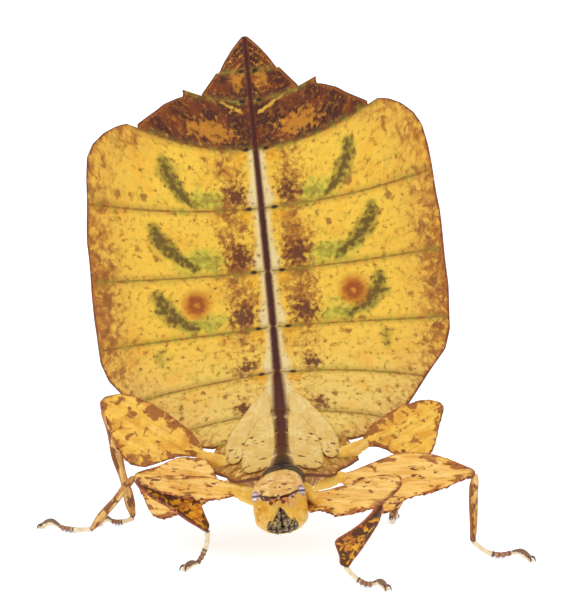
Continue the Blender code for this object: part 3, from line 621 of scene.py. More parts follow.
def leafMaterial():
    look = leafLook
    material, tree, shader = startMaterial("leafCuticle")
    skin = readField(tree, "skin", vector=True)
    edge, border, strip, mottle = (readField(tree, name) for name in ("edge", "border", "strip", "mottle"))
    broad = grainNoise(tree, skin, 0.22, 3.0)
    middling = grainNoise(tree, skin, 0.75, 2.5, 0.5)
    small = grainNoise(tree, skin, 1.5, 2.0, 0.5)
    ragged = centred(tree, small, 1.5)
    loose = centred(tree, middling, 1.6)

    def lay(colour, field, low, high, strength, shade, noise=ragged, spread=1.0):
        shown = calc(tree, "ADD", field, calc(tree, "MULTIPLY", noise, spread))
        return stain(tree, colour, shown, low, high, strength, look[shade])

    colour = blendColour(tree, softStep(tree, edge, 9.0, 1.0), tone(look["middle"]), tone(look["outer"]))
    colour = blendColour(tree, readField(tree, "pale"), colour, tone(look["pale"]))
    colour = stain(tree, colour, broad, 0.48, 0.70, 0.55, look["warm"])
    colour = stain(tree, colour, small, 0.50, 0.72, 0.45, look["shade"])
    colour = lay(colour, readField(tree, "green"), 0.05, 0.80, 0.9, "green", loose, 0.9)
    colour = lay(colour, readField(tree, "green"), 0.45, 0.95, 0.6, "oliveSoft", ragged, 1.3)

    spread = calc(tree, "MULTIPLY", mottle, softStep(tree, middling, 0.36, 0.62, 0.25, 1.0))
    net = useGroup(tree, netting, Place=skin, Scale=1.15, Width=0.28).outputs[0]
    colour = overlay(tree, colour, net, calc(tree, "MULTIPLY", spread, 0.9), look["mottle"])
    patch = useGroup(tree, blotches, Place=skin, Scale=0.62, Softness=0.085, Twist=0.9,
                     Cover=calc(tree, "MULTIPLY", mottle, 0.62)).outputs[0]
    broken = calc(tree, "MULTIPLY", patch, softStep(tree, small, 0.38, 0.58, 0.45, 0.85))
    colour = blendColour(tree, broken, colour, tone(look["mottle"]))
    deep = useGroup(tree, blotches, Place=skin, Scale=0.9, Softness=0.06, Twist=0.7,
                    Cover=calc(tree, "MULTIPLY", mottle, 0.44)).outputs[0]
    colour = overlay(tree, colour, deep, 0.7, look["patch"])
    dots = useGroup(tree, flecks, Place=skin, Scale=0.66, Size=0.34, Share=0.6).outputs[0]
    dots = calc(tree, "MULTIPLY", dots, softStep(tree, middling, 0.40, 0.58, 0.1, 0.75))
    colour = blendColour(tree, dots, colour, tone(look["fleck"]))

    colour = lay(colour, readField(tree, "cream"), 0.25, 0.95, 0.85, "cream", ragged, 0.45)
    colour = lay(colour, readField(tree, "amber"), 0.10, 0.90, 0.75, "amber", ragged, 1.1)
    olive = readField(tree, "olive")
    colour = lay(colour, olive, 0.0, 0.60, 0.75, "oliveSoft", loose, 0.6)
    colour = lay(colour, olive, 0.30, 0.95, 0.90, "olive", ragged, 1.5)
    blotch = readField(tree, "blotch")
    colour = lay(colour, blotch, 0.10, 0.75, 0.7, "patch", ragged, 1.4)
    colour = lay(colour, blotch, 0.45, 0.85, 0.8, "blotch", ragged, 1.4)
    for centre in look["eyespots"]:
        gap = addNode(tree, "ShaderNodeVectorMath", {0: skin, 1: centre}, operation="DISTANCE").outputs["Value"]
        gap = calc(tree, "ADD", gap, calc(tree, "MULTIPLY", ragged, 0.9))
        for inner, outer, strength, shade in look["eyespotRings"]:
            colour = blendColour(tree, softStep(tree, gap, inner, outer, strength, 0.0),
                                 colour, tone(look[shade]))

    tail = tailColour(tree, skin, small)
    colour = blendColour(tree, readField(tree, "tail"), colour, tail)

    wavy = calc(tree, "SUBTRACT", border, calc(tree, "MULTIPLY", ragged, 0.30))
    lineShade = blendColour(tree, softStep(tree, middling, 0.42, 0.58),
                            tone(look["line"]), tone(look["lineOlive"]))
    line = softStep(tree, wavy, 0.06, 0.26, 0.9, 0.0)
    soft = softStep(tree, wavy, 0.0, 0.95, 0.45, 0.0)
    colour = blendColour(tree, calc(tree, "MAXIMUM", line, soft), colour, lineShade)
    rimSoft = useGroup(tree, rimStain, Place=skin, Edge=edge, Width=0.50, Breakup=1.8).outputs[0]
    colour = overlay(tree, colour, rimSoft, 0.55, look["rimSoft"])
    rim = useGroup(tree, rimStain, Place=skin, Edge=edge, Width=0.24, Breakup=0.8).outputs[0]
    colour = overlay(tree, colour, rim, 0.85, look["rim"])
    colour = lay(colour, readField(tree, "nick"), 0.25, 0.65, 0.9, "tailDark", ragged, 0.7)

    wander = calc(tree, "ADD", strip, calc(tree, "MULTIPLY", ragged, 0.35))
    open_ = softStep(tree, border, 0.04, 0.22, 0.8, 1.0)
    red = calc(tree, "MULTIPLY", softStep(tree, wander, 0.9, 1.9, 0.8, 0.0), open_)
    colour = blendColour(tree, red, colour, tone(look["stripEdge"]))
    dark = calc(tree, "MULTIPLY", softStep(tree, wander, 0.55, 1.2, 1.0, 0.0), open_)
    shine = calc(tree, "MULTIPLY", readField(tree, "sheen"), 0.35)
    shade = blendColour(tree, shine, tone(look["strip"]), tone(look["sheen"]))
    shade = blendColour(tree, readField(tree, "ink"), shade, tone(look["ink"]))
    colour = blendColour(tree, dark, colour, shade)
    aside = calc(tree, "MULTIPLY", readField(tree, "dotAside"), 0.62)
    squares = calc(tree, "ADD", calc(tree, "POWER", aside, 2.0), calc(tree, "POWER", border, 2.0))
    apart = calc(tree, "ADD", calc(tree, "SQRT", squares), calc(tree, "MULTIPLY", ragged, 0.14))
    colour = blendColour(tree, softStep(tree, apart, 0.14, 0.40, 0.95, 0.0), colour, tone(look["dot"]))
    finishMaterial(tree, shader, colour, skin, roughness=0.50, bump=0.35, coat=0.06, fine=3.6, depth=0.12)
    letLightIn(shader, 0.12, cuticle["glowReach"])
    return material


def tailColour(tree, skin, small):
    # The last three segments: russet with dark patches, orange mottling, pale bars and fine veins.
    look = leafLook
    broad = grainNoise(tree, skin, 0.32, 4.0, 0.6, 0.4)
    grain = grainNoise(tree, skin, 1.3, 4.0, 0.6)
    colour = blendColour(tree, softStep(tree, broad, 0.36, 0.58), tone(look["tail"]), tone(look["tailDark"]))
    colour = stain(tree, colour, grain, 0.48, 0.68, 0.40, look["tailGlow"])
    colour = stain(tree, colour, small, 0.45, 0.75, 0.6, look["tailDark"])
    ragged = centred(tree, small, 2.2)
    for field, shade in (("glow", look["tailGlow"]), ("bar", look["bar"]), ("vein", look["tailGlow"])):
        shown = calc(tree, "ADD", readField(tree, field), ragged)
        colour = stain(tree, colour, shown, 0.25, 0.80, 0.85, shade)
    return colour


tailMarks = {
    "bars": (((4.3, 70.4), (2.6, 69.6), (1.0, 68.9)), (0.35, 0.50, 0.35)),
    "glow": ((1.6, 73.6), (1.6, 2.6)),
    "frontGlow": ((6.2, 66.2), (5.4, 2.4)),
    "dotAcross": (
        (19, 2.4), (31, 2.2), (38.4, 2.1), (46.6, 2.0), (55.5, 1.8), (63.8, 1.4), (70.6, 1.2), (79.7, 0.7),
    ),
    "veinPitch": 0.95,
    "start": 63.80,
    "veinStart": 74.8,
}


def tailFields(x, place):
    far = np.abs(x)
    bar = strokeField(far, place, *tailMarks["bars"])
    frontGlow = 1.1 * patchField(far, place, *tailMarks["frontGlow"])
    glow = np.maximum(patchField(far, place, *tailMarks["glow"]), frontGlow)
    veined = place - tailMarks["veinStart"]
    slant = (veined + 0.9 * far) / tailMarks["veinPitch"]
    vein = smoothStepOf(np.cos(slant * 2 * math.pi), 0.55, 1.0) * smoothStepOf(veined, 0.1, 0.5)
    vein = vein * (far > 0.35) * 0.75
    tail = smoothStepOf(place - tailMarks["start"], 0.0, 0.04)
    return {"bar": bar, "glow": glow, "vein": vein, "tail": tail}


def buildBody():
    rows = bodyRows()
    x, edge, topCount = bodySection(rows)
    place = rows[:, 0:1] + 0 * x
    heights, border = bodyHeights(x, edge, rows[:, 0:1], topCount)
    rings = onBack(place + rows[:, 1:2] * x**2, x, heights)
    under = (np.arange(x.shape[1])[None, :] >= topCount) + 0 * x
    skin = np.stack([x, place, under * leafLook["underShift"]], axis=-1)
    fields = {"skin": skin, "edge": edge, "border": border + under,
              "strip": np.abs(x) / stripHalf(place) + 5 * under}
    fields |= bodyMarks(x, place, edge)
    fields |= tailFields(x, place)
    fields["dotAside"] = np.abs(np.abs(x) - at(tailMarks["dotAcross"], place)) + 9 * under
    bodySkin = loft("bodySkin", rings, leafMaterial(), fields)
    nodes = [f"abdomen_segment_{k:02d}" for k in range(2, 11)]
    return dress(bodySkin, "leaf_cuticle", "mesothorax", "metathorax", *nodes)


bodySkin = buildBody()
print("body skin:", len(bodySkin.data.polygons), "faces")


# Wing pads: two thin sheets on each side of the thorax, the fore pad lying over the hind pad

pads = {
    "fore": {  # place along the back, inner edge and outer edge
        "rows": (
            (5.0, 1.6, 2.6), (5.3, 1.3, 3.5), (6.0, 1.05, 4.5), (7.2, 1.0, 5.1), (9.0, 0.9, 5.45),
            (11.0, 0.9, 5.5), (14.0, 0.9, 5.4), (17.0, 0.9, 4.9), (19.0, 0.9, 4.35),
            (20.6, 0.95, 3.7), (21.8, 1.0, 3.0), (22.5, 1.15, 2.2), (22.75, 1.4, 1.7),
        ),
        "lift": (0.45, 0.62),  # at the front and at the rear
        "arch": 0.22,
        "speckle": 1.0,
        "layer": 3,  # moves the pad to its own part of the speckling
    },
    "hind": {
        "rows": (
            (11.6, 6.1, 6.4), (12.3, 5.6, 7.0), (13.4, 5.2, 7.5), (15.0, 4.9, 7.8),
            (17.5, 4.5, 7.7), (20.0, 3.6, 7.0), (22.0, 2.4, 6.0), (23.3, 1.3, 5.2),
            (25.0, 1.1, 4.1), (26.3, 1.15, 3.1), (27.0, 1.4, 2.3), (27.2, 1.7, 2.0),
        ),
        "lift": (0.32, 0.32),
        "arch": 0.14,
        "speckle": 0.55,
        "layer": 9,
    },
    "thickness": 0.16,
    "edgeRadius": 0.16,
    "veinTurn": 34,  # veins in a full turn round the pad's root
    "rowCount": 110,
    "shareCount": 34,
}

padLook = {
    "base": "E2B768", "clear": "F2D08A", "vein": "CC9440", "shade": "D29E42",
    "speck": "5A2C12", "edge": "B98838",
}


def padMaterial():
    look = padLook
    material, tree, shader = startMaterial("padCuticle")
    skin = readField(tree, "skin", vector=True)
    edge, vein, root = (readField(tree, name) for name in ("edge", "vein", "root"))
    cloud = grainNoise(tree, skin, 0.5, 4.0, 0.6)
    colour = blendColour(tree, softStep(tree, cloud, 0.35, 0.7), tone(look["base"]), tone(look["clear"]))
    colour = stain(tree, colour, root, 0.0, 1.0, 0.55, look["shade"])
    colour = stain(tree, colour, vein, 0.2, 1.0, 0.2, look["vein"])
    warm = grainNoise(tree, skin, 1.2, 4.0, 0.65)
    colour = stain(tree, colour, warm, 0.50, 0.72, 0.55, look["vein"])
    specks = useGroup(tree, flecks, Place=stretched(tree, skin, (0.95, 1.05, 1.0)),
                      Scale=1.0, Size=0.34, Share=0.9)
    kept = softStep(tree, readField(tree, "speckle"), 0.3, 0.6)
    colour = overlay(tree, colour, specks.outputs[0], kept, look["speck"])
    rim = useGroup(tree, rimStain, Place=skin, Edge=edge, Width=0.22, Breakup=0.6)
    colour = overlay(tree, colour, rim.outputs[0], 0.4, look["edge"])
    finishMaterial(tree, shader, colour, skin, roughness=0.42, bump=0.25, coat=0.12, fine=5.0, depth=0.08)
    letLightIn(shader, 0.2, cuticle["glowReach"])
    return material


def buildPad(side, sign, kind, material):
    facts = pads[kind]
    place = np.linspace(facts["rows"][0][0], facts["rows"][-1][0], pads["rowCount"])
    places, inner, outer = zip(*facts["rows"])
    inner, outer = np.interp(place, places, inner), np.interp(place, places, outer)
    share = spreadShares(pads["shareCount"], 1.4)
    ringShare = np.concatenate([share, share[::-1][1:-1]])[None, :]
    wide = (outer - inner)[:, None]
    across = inner[:, None] + wide * ringShare
    ends = np.minimum(place - place[0], place[-1] - place)[:, None]
    edge = np.minimum(wide * np.minimum(ringShare, 1 - ringShare), ends)
    rounded = roundOff(edge / pads["edgeRadius"])
    lift = np.linspace(*facts["lift"], pads["rowCount"])[:, None]
    fan = np.arctan2(across - inner[0], place[:, None] - place[0] + 1.0)
    vein = smoothStepOf(np.cos(fan * pads["veinTurn"]), 0.80, 1.0) * smoothStepOf(edge, 0.1, 0.8)
    hump = facts["arch"] * np.sin(np.clip(ringShare, 0, 1) * math.pi)
    hump = hump + 0.06 * ripple(across, place[:, None], 1.6, 5)
    isTop = np.arange(ringShare.shape[1])[None, :] <= pads["shareCount"]
    face = np.where(isTop, pads["thickness"] / 2 * rounded + 0.02 * vein, -pads["thickness"] / 2 * rounded)
    rings = onBack(place[:, None] + 0 * across, sign * across, lift + hump + face)
    skin = np.stack([across, place[:, None] + 0 * across, 0 * across + facts["layer"]], axis=-1)
    root = smoothStepOf(place, place[0] + 4.5, place[0])[:, None]
    root = root * smoothStepOf(ringShare, 0.0, 0.9) + 0 * across
    speckle = smoothStepOf(place, 19, 16.5)[:, None] * smoothStepOf(across, 1.6, 2.6) * facts["speckle"]
    fields = {"skin": skin, "edge": edge, "vein": vein, "root": root, "speckle": speckle}
    pad = loft(f"{kind}wingPad{side}", rings, material, fields)
    return dress(pad, "pad_cuticle", f"{kind}wing_pad_{side.lower()}")


padFinish = padMaterial()
for padSide, padSign in (("Left", 1), ("Right", -1)):
    for padKind in ("hind", "fore"):
        buildPad(padSide, padSign, padKind, padFinish)
print("wing pads laid")


# Legs: a thin leaf on both sides of a round shaft, then the shin with its lobe, and a jointed foot

def unit(vector):
    return np.asarray(vector, float) / np.linalg.norm(vector)


# A leaf and a shin are the way that the flat face looks, and the reach above and below the shaft.
legs = {
    "fore_right": {
        "root": (-1.6, 6.4, 9.6), "hip": (-5.6, 5.2, 10.6), "knee": (-19.0, 6.4, 11.6),
        "ankle": (-9.6, 6.2, 4.9),
        "foot": ((-9.7, 6.6, 3.0), (-10.6, 6.3, 1.0), (-11.5, 5.0, 0.5), (-12.6, 3.6, 0.55)),
        "leaf": ((0.15, -0.75, 0.65), 1.6, 2.1), "shin": ((0.2, -1, 0.3), 3.0, 0.85), "shape": "femur",
        "base": 0.5, "coxaShift": (0.0, 0.0, -0.55),
    },
    "fore_left": {
        "root": (2.3, 6.4, 9.6), "hip": (4.4, 1.2, 9.9), "knee": (12.9, -8.0, 11.2), "ankle": (8.4, -4.2, 2.3),
        "foot": ((9.6, -5, 1.2), (11, -5.8, 0.5), (12.6, -6.6, 0.6), (13.7, -8.1, 0.5)),
        "leaf": ((-0.45, -0.6, 0.66), 4.8, 2.1), "shin": ((0.25, -1, 0.1), 3.1, 1.1), "shape": "sweptFemur",
        "base": 1.6, "coxaShift": (-0.1, 0.9, 0.7),
    },
    "mid_right": {
        "root": (-3.6, 12.2, 9.8), "hip": (-8.0, 13.2, 9.3), "knee": (-19.8, 20.6, 9.4),
        "ankle": (-26.0, 26.6, 0.9),
        "foot": ((-28, 28, 0.55), (-30, 29.4, 0.5), (-31.8, 30.4, 0.85), (-33.4, 31, 0.5)),
        "leaf": ((0.25, -0.9, 0.35), 3.9, 5.3), "shin": ((0.2, -1, 0.3), 0.8, 0.7), "shape": "broadFemur",
    },
    "mid_left": {
        "root": (4.4, 12.2, 10.2), "hip": (8.0, 12.2, 10.9), "knee": (26.0, 12.0, 11.4),
        "ankle": (25.8, 12.4, 2.1),
        "foot": ((27.6, 12.2, 0.8), (29.4, 11.8, 0.5), (31.4, 11.3, 0.85), (33.4, 9.4, 0.5)),
        "leaf": ((0, -0.85, 0.5), 3.45, 5.6), "shin": ((0.3, -1, 0.2), 0.85, 0.7), "shape": "spurredFemur",
    },
    "hind_right": {
        "root": (-5.2, 17.0, 10.8), "hip": (-10.4, 19.4, 12.4), "knee": (-24.4, 25.0, 19.2),
        "ankle": (-20.6, 33.6, 1.1),
        "foot": ((-21.6, 33.8, 0.6), (-22.8, 33.6, 0.5), (-24.2, 33.2, 0.8), (-25.4, 32.8, 0.5)),
        "leaf": ((0.1, -0.93, 0.3), 3.0, 5.9), "shin": ((0.2, -1, 0.1), 0.9, 0.8), "shape": "hindFemur",
        "spots": (  # share of the leaf's length, height over the shaft and radius
            (0.50, -5.0, 1.9), (0.33, -4.6, 1.9), (0.70, -4.2, 1.2), (0.20, 1.9, 1.1), (0.42, 2.4, 0.9),
        ),
    },
    "hind_left": {
        "root": (5.6, 17.0, 11.4), "hip": (11.0, 19.6, 13.9), "knee": (22.2, 27.0, 18.2),
        "ankle": (15.4, 33.0, 1.2),
        "foot": ((15.6, 34.2, 0.6), (15.8, 35.4, 0.5), (16, 36.8, 0.8), (16.2, 38, 0.5)),
        "leaf": ((-0.1, -0.93, 0.3), 2.5, 5.9), "shin": ((-0.1, -1, 0.1), 0.9, 0.8), "shape": "hindFemur",
    },
}

plainUpper = ((0, 0.35), (0.06, 0.55), (0.14, 0.78), (0.3, 0.94), (0.5, 1), (0.75, 0.87),
              (0.86, 0.62), (0.93, 0.36), (1, 0.2))
plainLower = ((0, 0.3), (0.05, 0.5), (0.12, 0.78), (0.3, 0.96), (0.5, 1), (0.75, 0.77),
              (0.86, 0.48), (0.93, 0.26), (1, 0.15))

leafShape = {  # share of the leaf's reach at shares of its length, above and below the shaft
    "femur": (plainUpper, plainLower),
    "sweptFemur": (
        ((0, 0.2), (0.06, 0.32), (0.14, 0.36), (0.25, 0.42), (0.4, 0.58),
         (0.55, 0.78), (0.7, 0.95), (0.82, 1.02), (0.93, 0.94), (1, 0.5)),
        ((0, 0.3), (0.05, 0.62), (0.12, 0.9), (0.18, 0.95), (0.28, 0.78),
         (0.4, 0.86), (0.5, 1), (0.75, 0.77), (0.86, 0.48), (0.93, 0.26), (1, 0.15)),
    ),
    "broadFemur": (
        ((0, 0.15), (0.11, 0.5), (0.2, 0.95), (0.32, 1), (0.5, 0.95),
         (0.62, 0.82), (0.75, 0.54), (0.92, 0.3), (1, 0.18)),
        ((0, 0.25), (0.08, 0.4), (0.2, 0.66), (0.3, 0.76), (0.4, 0.88), (0.5, 1.03),
         (0.59, 1.06), (0.67, 0.98), (0.77, 0.75), (0.86, 0.45), (0.93, 0.26), (1, 0.15)),
    ),
    "spurredFemur": (
        ((0, 0.2), (0.08, 0.26), (0.2, 0.5), (0.33, 0.8), (0.42, 0.98),
         (0.57, 1), (0.7, 0.89), (0.82, 0.66), (0.97, 0.29), (1, 0.2)),
        ((0, 0.15), (0.12, 0.5), (0.26, 0.93), (0.34, 1.02), (0.42, 0.76),
         (0.5, 0.56), (0.62, 0.5), (0.76, 0.38), (0.87, 0.2), (1, 0.1)),
    ),
    "hindFemur": (
        ((0, 0.2), (0.1, 0.55), (0.22, 0.84), (0.43, 0.98), (0.61, 1),
         (0.82, 0.86), (0.92, 0.6), (0.97, 0.38), (1, 0.22)),
        ((0, 0.1), (0.1, 0.16), (0.17, 0.25), (0.27, 0.6), (0.38, 0.92),
         (0.51, 1), (0.65, 0.88), (0.79, 0.57), (0.92, 0.28), (1, 0.12)),
    ),
    "lobedShin": (
        ((0, 0.16), (0.2, 0.30), (0.35, 0.44), (0.5, 0.66), (0.62, 0.90),
         (0.69, 1.04), (0.74, 0.98), (0.84, 0.64), (0.94, 0.40), (1, 0.30)),
        ((0, 0.6), (0.25, 1), (0.6, 0.75), (1, 0.5)),
    ),
    "slimShin": (((0, 0.65), (0.06, 0.8), (0.15, 0.95), (0.5, 1), (0.85, 0.85), (1, 0.62)),) * 2,
    "sweep": {"sweptFemur": 0.8},
    "femurShaft": 0.60,
    "shinShaft": 0.46,
    "femurRows": 220,
    "shinRows": 150,
    "sheet": 0.30,
    "shaftShares": ((0, 0.8), (0.1, 1), (0.85, 0.9), (0.95, 1.05), (1, 0.85)),
    "edgeRadius": 0.15,
    "shareCount": 22,
    "veinPitch": 1.5,
    "toothPitch": 0.95,
    "toothReach": 0.24,
    "marginInset": 0.12,  # keeps the teeth and waves inside the leaf's reach
    "marginWave": (0.14, 1.3),  # height and pitch
    "faceWave": (0.10, 2.4),
}


def softTable(table, share, span=0.05):
    # The table's value, rounded at its corners.
    return sum(at(table, np.clip(share + shift * span, 0, 1)) for shift in (-1, -0.5, 0, 0.5, 1)) / 5


def leafBlade(name, start, end, leaf, shape, shaft, stations, teeth, material, seed, base=0.0, spots=()):
    # The leaf begins a base length before the start. Above the shaft it can sweep on towards the far end.
    facing, *reach = leaf
    way = unit(np.subtract(end, start))
    start = np.subtract(start, base * way)
    shapes, sweep = leafShape[shape], leafShape["sweep"].get(shape, 0.0)
    out = unit(np.asarray(facing, float) - np.dot(facing, way) * way)
    across = np.cross(way, out)
    if across[2] < 0:
        across, out = -across, out
    length = np.linalg.norm(np.subtract(end, start))
    share = np.linspace(0, 1, stations)[:, None]
    along = share * length
    core = shaft * at(leafShape["shaftShares"], share)
    rng = np.random.default_rng(seed)
    sides = []
    for table, wide, sign in zip(shapes, reach, (1, -1)):
        steps = along / leafShape["toothPitch"] + rng.uniform() + 0.18 * ripple(along, 0 * along, 2.0, seed)
        saw = (1 - steps % 1) ** 1.6 * (0.55 + 0.45 * np.sin(np.floor(steps) * 2.4 + seed))
        shown = smoothStepOf(share, 0.06, 0.16) * smoothStepOf(share, 0.97, 0.9)
        tooth = leafShape["toothReach"] * teeth[0 if sign > 0 else 1] * saw * shown
        smooth = np.maximum(wide * softTable(table, share), core * 1.03) - leafShape["marginInset"]
        high, pitch = leafShape["marginWave"]
        sides.append(smooth + tooth + high * shown * ripple(along, 0 * along, pitch, seed + 3 + sign))
    count = leafShape["shareCount"]
    spread = spreadShares(count, 1.25)
    ring = np.concatenate([-spread[::-1], spread[1:], spread[::-1][1:], -spread[1:-1]])[None, :]
    a = np.where(ring > 0, ring * sides[0], ring * sides[1])
    edge = np.where(ring > 0, sides[0], sides[1]) - np.abs(a)
    rounded = roundOff(edge / leafShape["edgeRadius"])
    bulge = np.sqrt(np.clip(1 - (a / (core * 1.15)) ** 2, 0, 1)) * core
    sheet = leafShape["sheet"] / 2
    swell = np.hypot(bulge * 0.9, sheet) - sheet
    veinTurn = (along - np.abs(a) * 0.9) * 2 * math.pi / leafShape["veinPitch"]
    veins = smoothStepOf(np.cos(veinTurn), 0.6, 1) * smoothStepOf(edge, 0.05, 0.6)
    front = np.arange(ring.shape[1])[None, :] <= 2 * count
    thick = (sheet + swell + 0.05 * veins) * np.maximum(rounded, 0.05)
    high, pitch = leafShape["faceWave"]
    wave = high * ripple(along, a, pitch, seed + 7) * smoothStepOf(np.abs(a), core, core + 1.5)
    tips = np.sqrt(np.clip(1 - (1 - np.clip(np.minimum(share * 16, (1 - share) * 22), 0, 1)) ** 2, 0.02, 1))
    lift = np.where(front, thick, -thick) * tips + wave
    a = a * np.where(np.abs(a) < 5, 0.35 + 0.65 * tips, 1)
    reached = along + sweep * share**4 * np.clip(a, 0, None)
    rings = np.asarray(start) + way * reached[..., None] + across * a[..., None] + out * lift[..., None]
    skin = np.stack([along + 0 * a, a, np.where(front, 0.0, 20.0) + 0 * a + seed * 40], axis=-1)
    spot = np.zeros_like(a)
    for where, aside, radius in spots:
        spot = np.maximum(spot, patchField(along + 0 * a, a, (where * length, aside), (radius * 0.8, radius)))
    fields = {"skin": skin, "edge": edge, "vein": veins + 0 * a, "share": share + 0 * a, "spot": spot,
              "low": smoothStepOf(a, 0.5, -0.5)}
    return loft(name, rings, material, fields)


legLook = {
    "femur": {
        "base": "F0C064", "light": "FAD98E", "tint": "E3A844", "grain": "C98C3A",
        "blot": "A05A20", "dash": "5E2A10",
        "edge": "5A200F", "edgeGlow": "B8602A", "tip": "7A3A16", "fibre": 0.45,
        "blots": 0.12, "marginBlots": 0.34,
        "blotScale": 1.0, "dashPitch": 1.9, "dashSize": 0.38, "dashShare": 0.75,
        "edgeWidth": 0.24, "veins": 0.0,
        "stretch": (0.36, 1.1, 1.0),
    },
    "hindFemur": {
        "base": "EDBB44", "light": "F6D474", "tint": "DB9A2C", "grain": "C88A2E",
        "blot": "955418", "dash": "7A4018",
        "edge": "6E2E12", "edgeGlow": "B4662A", "tip": "8A4A1E", "fibre": 0.35,
        "blots": 0.26, "marginBlots": 0.34,
        "blotScale": 0.75, "dashPitch": 1.1, "dashSize": 0.34, "dashShare": 0.35,
        "edgeWidth": 0.34, "veins": 0.0,
        "stretch": (0.85, 1.0, 1.0),
    },
    "foreTibia": {
        "base": "E39C14", "light": "F4C03C", "tint": "B8640A", "grain": "AC6812",
        "blot": "401604", "dash": "341204",
        "edge": "6A2410", "edgeGlow": "C2622A", "tip": "4A1E0E", "fibre": 0.4,
        "blots": 0.34, "marginBlots": 0.34,
        "blotScale": 1.15, "dashPitch": 1.6, "dashSize": 0.36, "dashShare": 0.75,
        "edgeWidth": 0.18, "veins": 0.55,
        "stretch": (0.8, 0.8, 1.0),
    },
    "tibia": {
        "base": "E2B564", "light": "F0D086", "tint": "C4863A", "grain": "AA6E2C",
        "blot": "74390F", "dash": "52240C",
        "edge": "8A4A1E", "edgeGlow": "A8642E", "tip": "3E1A0C", "fibre": 0.7,
        "blots": 0.34, "marginBlots": 0.1,
        "blotScale": 1.1, "dashPitch": 1.6, "dashSize": 0.32, "dashShare": 0.45,
        "edgeWidth": 0.04, "veins": 0.0,
        "stretch": (0.45, 1.0, 1.0),
    },
    "hip": {
        "base": "EEC054", "light": "F7D988", "tint": "DDA53A", "grain": "D09A3C",
        "blot": "B8742A", "dash": "A86A28",
        "edge": "B8742A", "edgeGlow": "C88A3C", "tip": "D8A040", "fibre": 0.4, "blots": 0.0, "marginBlots": 0.0,
        "blotScale": 0.8, "dashPitch": 1.0, "dashSize": 0.15, "dashShare": 0.1, "edgeWidth": 0.04, "veins": 0.0,
        "stretch": (0.6, 1.0, 1.0),
    },
}


def legMaterial(kind):
    # Fibres and dashes run along the leg, blots gather near the margins, and the rim is a broken line of dots.
    look = legLook[kind]
    material, tree, shader = startMaterial(kind + "Cuticle")
    skin = readField(tree, "skin", vector=True)
    edge, share, low, spot = (readField(tree, name) for name in ("edge", "share", "low", "spot"))
    drawn = stretched(tree, skin, look["stretch"])
    cloud = grainNoise(tree, drawn, 0.5, 3.0, 0.55)
    small = grainNoise(tree, drawn, 1.8, 2.0, 0.5)
    fibre = grainNoise(tree, stretched(tree, skin, (0.22, 2.3, 1.0)), 1.0, 2.5, 0.6)
    ragged = centred(tree, small, 1.6)
    colour = stain(tree, tone(look["base"]), cloud, 0.42, 0.62, 0.9, look["tint"])
    colour = stain(tree, colour, fibre, 0.48, 0.36, look["fibre"], look["light"])
    colour = stain(tree, colour, fibre, 0.53, 0.64, look["fibre"], look["grain"])

    cover = calc(tree, "ADD", softStep(tree, edge, 1.8, 0.2, 0.0, look["marginBlots"]), look["blots"])
    blot = useGroup(tree, blotches, Place=drawn, Scale=look["blotScale"],
                    Softness=0.045, Twist=0.7, Cover=cover)
    colour = overlay(tree, colour, blot.outputs[0], 0.92, look["blot"])
    stripe = calc(tree, "ADD", readField(tree, "vein"), ragged)
    colour = stain(tree, colour, stripe, 0.5, 1.0, look["veins"], look["blot"])
    cluster = grainNoise(tree, skin, 0.45, 2.0, 0.5, 0.4)
    dash = useGroup(tree, flecks, Place=drawn, Scale=look["dashPitch"],
                    Size=look["dashSize"], Share=look["dashShare"])
    dash = calc(tree, "MULTIPLY", dash.outputs[0], softStep(tree, cluster, 0.44, 0.58, 0.15, 0.95))
    colour = blendColour(tree, dash, colour, tone(look["dash"]))
    patch = softStep(tree, calc(tree, "ADD", spot, ragged), 0.25, 0.75, 0.0, 0.85)
    colour = blendColour(tree, patch, colour, tone(look["blot"]))

    broken = grainNoise(tree, skin, 1.5, 2.0, 0.5)
    glow = softStep(tree, edge, 0.08, 0.30, 0.65, 0.0)
    colour = blendColour(tree, glow, colour, tone(look["edgeGlow"]))
    rim = useGroup(tree, rimStain, Place=skin, Edge=edge, Width=look["edgeWidth"], Breakup=0.9).outputs[0]
    rim = calc(tree, "MULTIPLY", rim, softStep(tree, broken, 0.44, 0.56, 0.04, 0.95))
    rim = calc(tree, "MULTIPLY", rim, softStep(tree, low, 0.0, 1.0, 0.6, 1.0))
    colour = blendColour(tree, rim, colour, tone(look["edge"]))
    tip = softStep(tree, calc(tree, "ADD", share, calc(tree, "MULTIPLY", small, 0.08)), 0.97, 1.04, 0.0, 0.9)
    colour = blendColour(tree, tip, colour, tone(look["tip"]))
    finishMaterial(tree, shader, colour, skin, roughness=0.45, bump=0.45, coat=0.08, fine=4.5,
                   depth=0.12, relief=fibre)
    letLightIn(shader, 0.1, cuticle["thinGlowReach"])
    return material


legFinish = {kind: legMaterial(kind) for kind in legLook}


def smoothPath(points, steps):
    # Points on a smooth curve through the given ones.
    points = [np.asarray(p, float) for p in points]
    padded = [2 * points[0] - points[1]] + points + [2 * points[-1] - points[-2]]
    path = []
    for a, b, c, d in zip(padded, padded[1:], padded[2:], padded[3:]):
        for k in range(steps):
            t = k / steps
            bent = (2 * a - 5 * b + 4 * c - d) * t**2 + (3 * b - a - 3 * c + d) * t**3
            path.append(0.5 * (2 * b + (c - a) * t + bent))
    return np.array(path + [points[-1]])


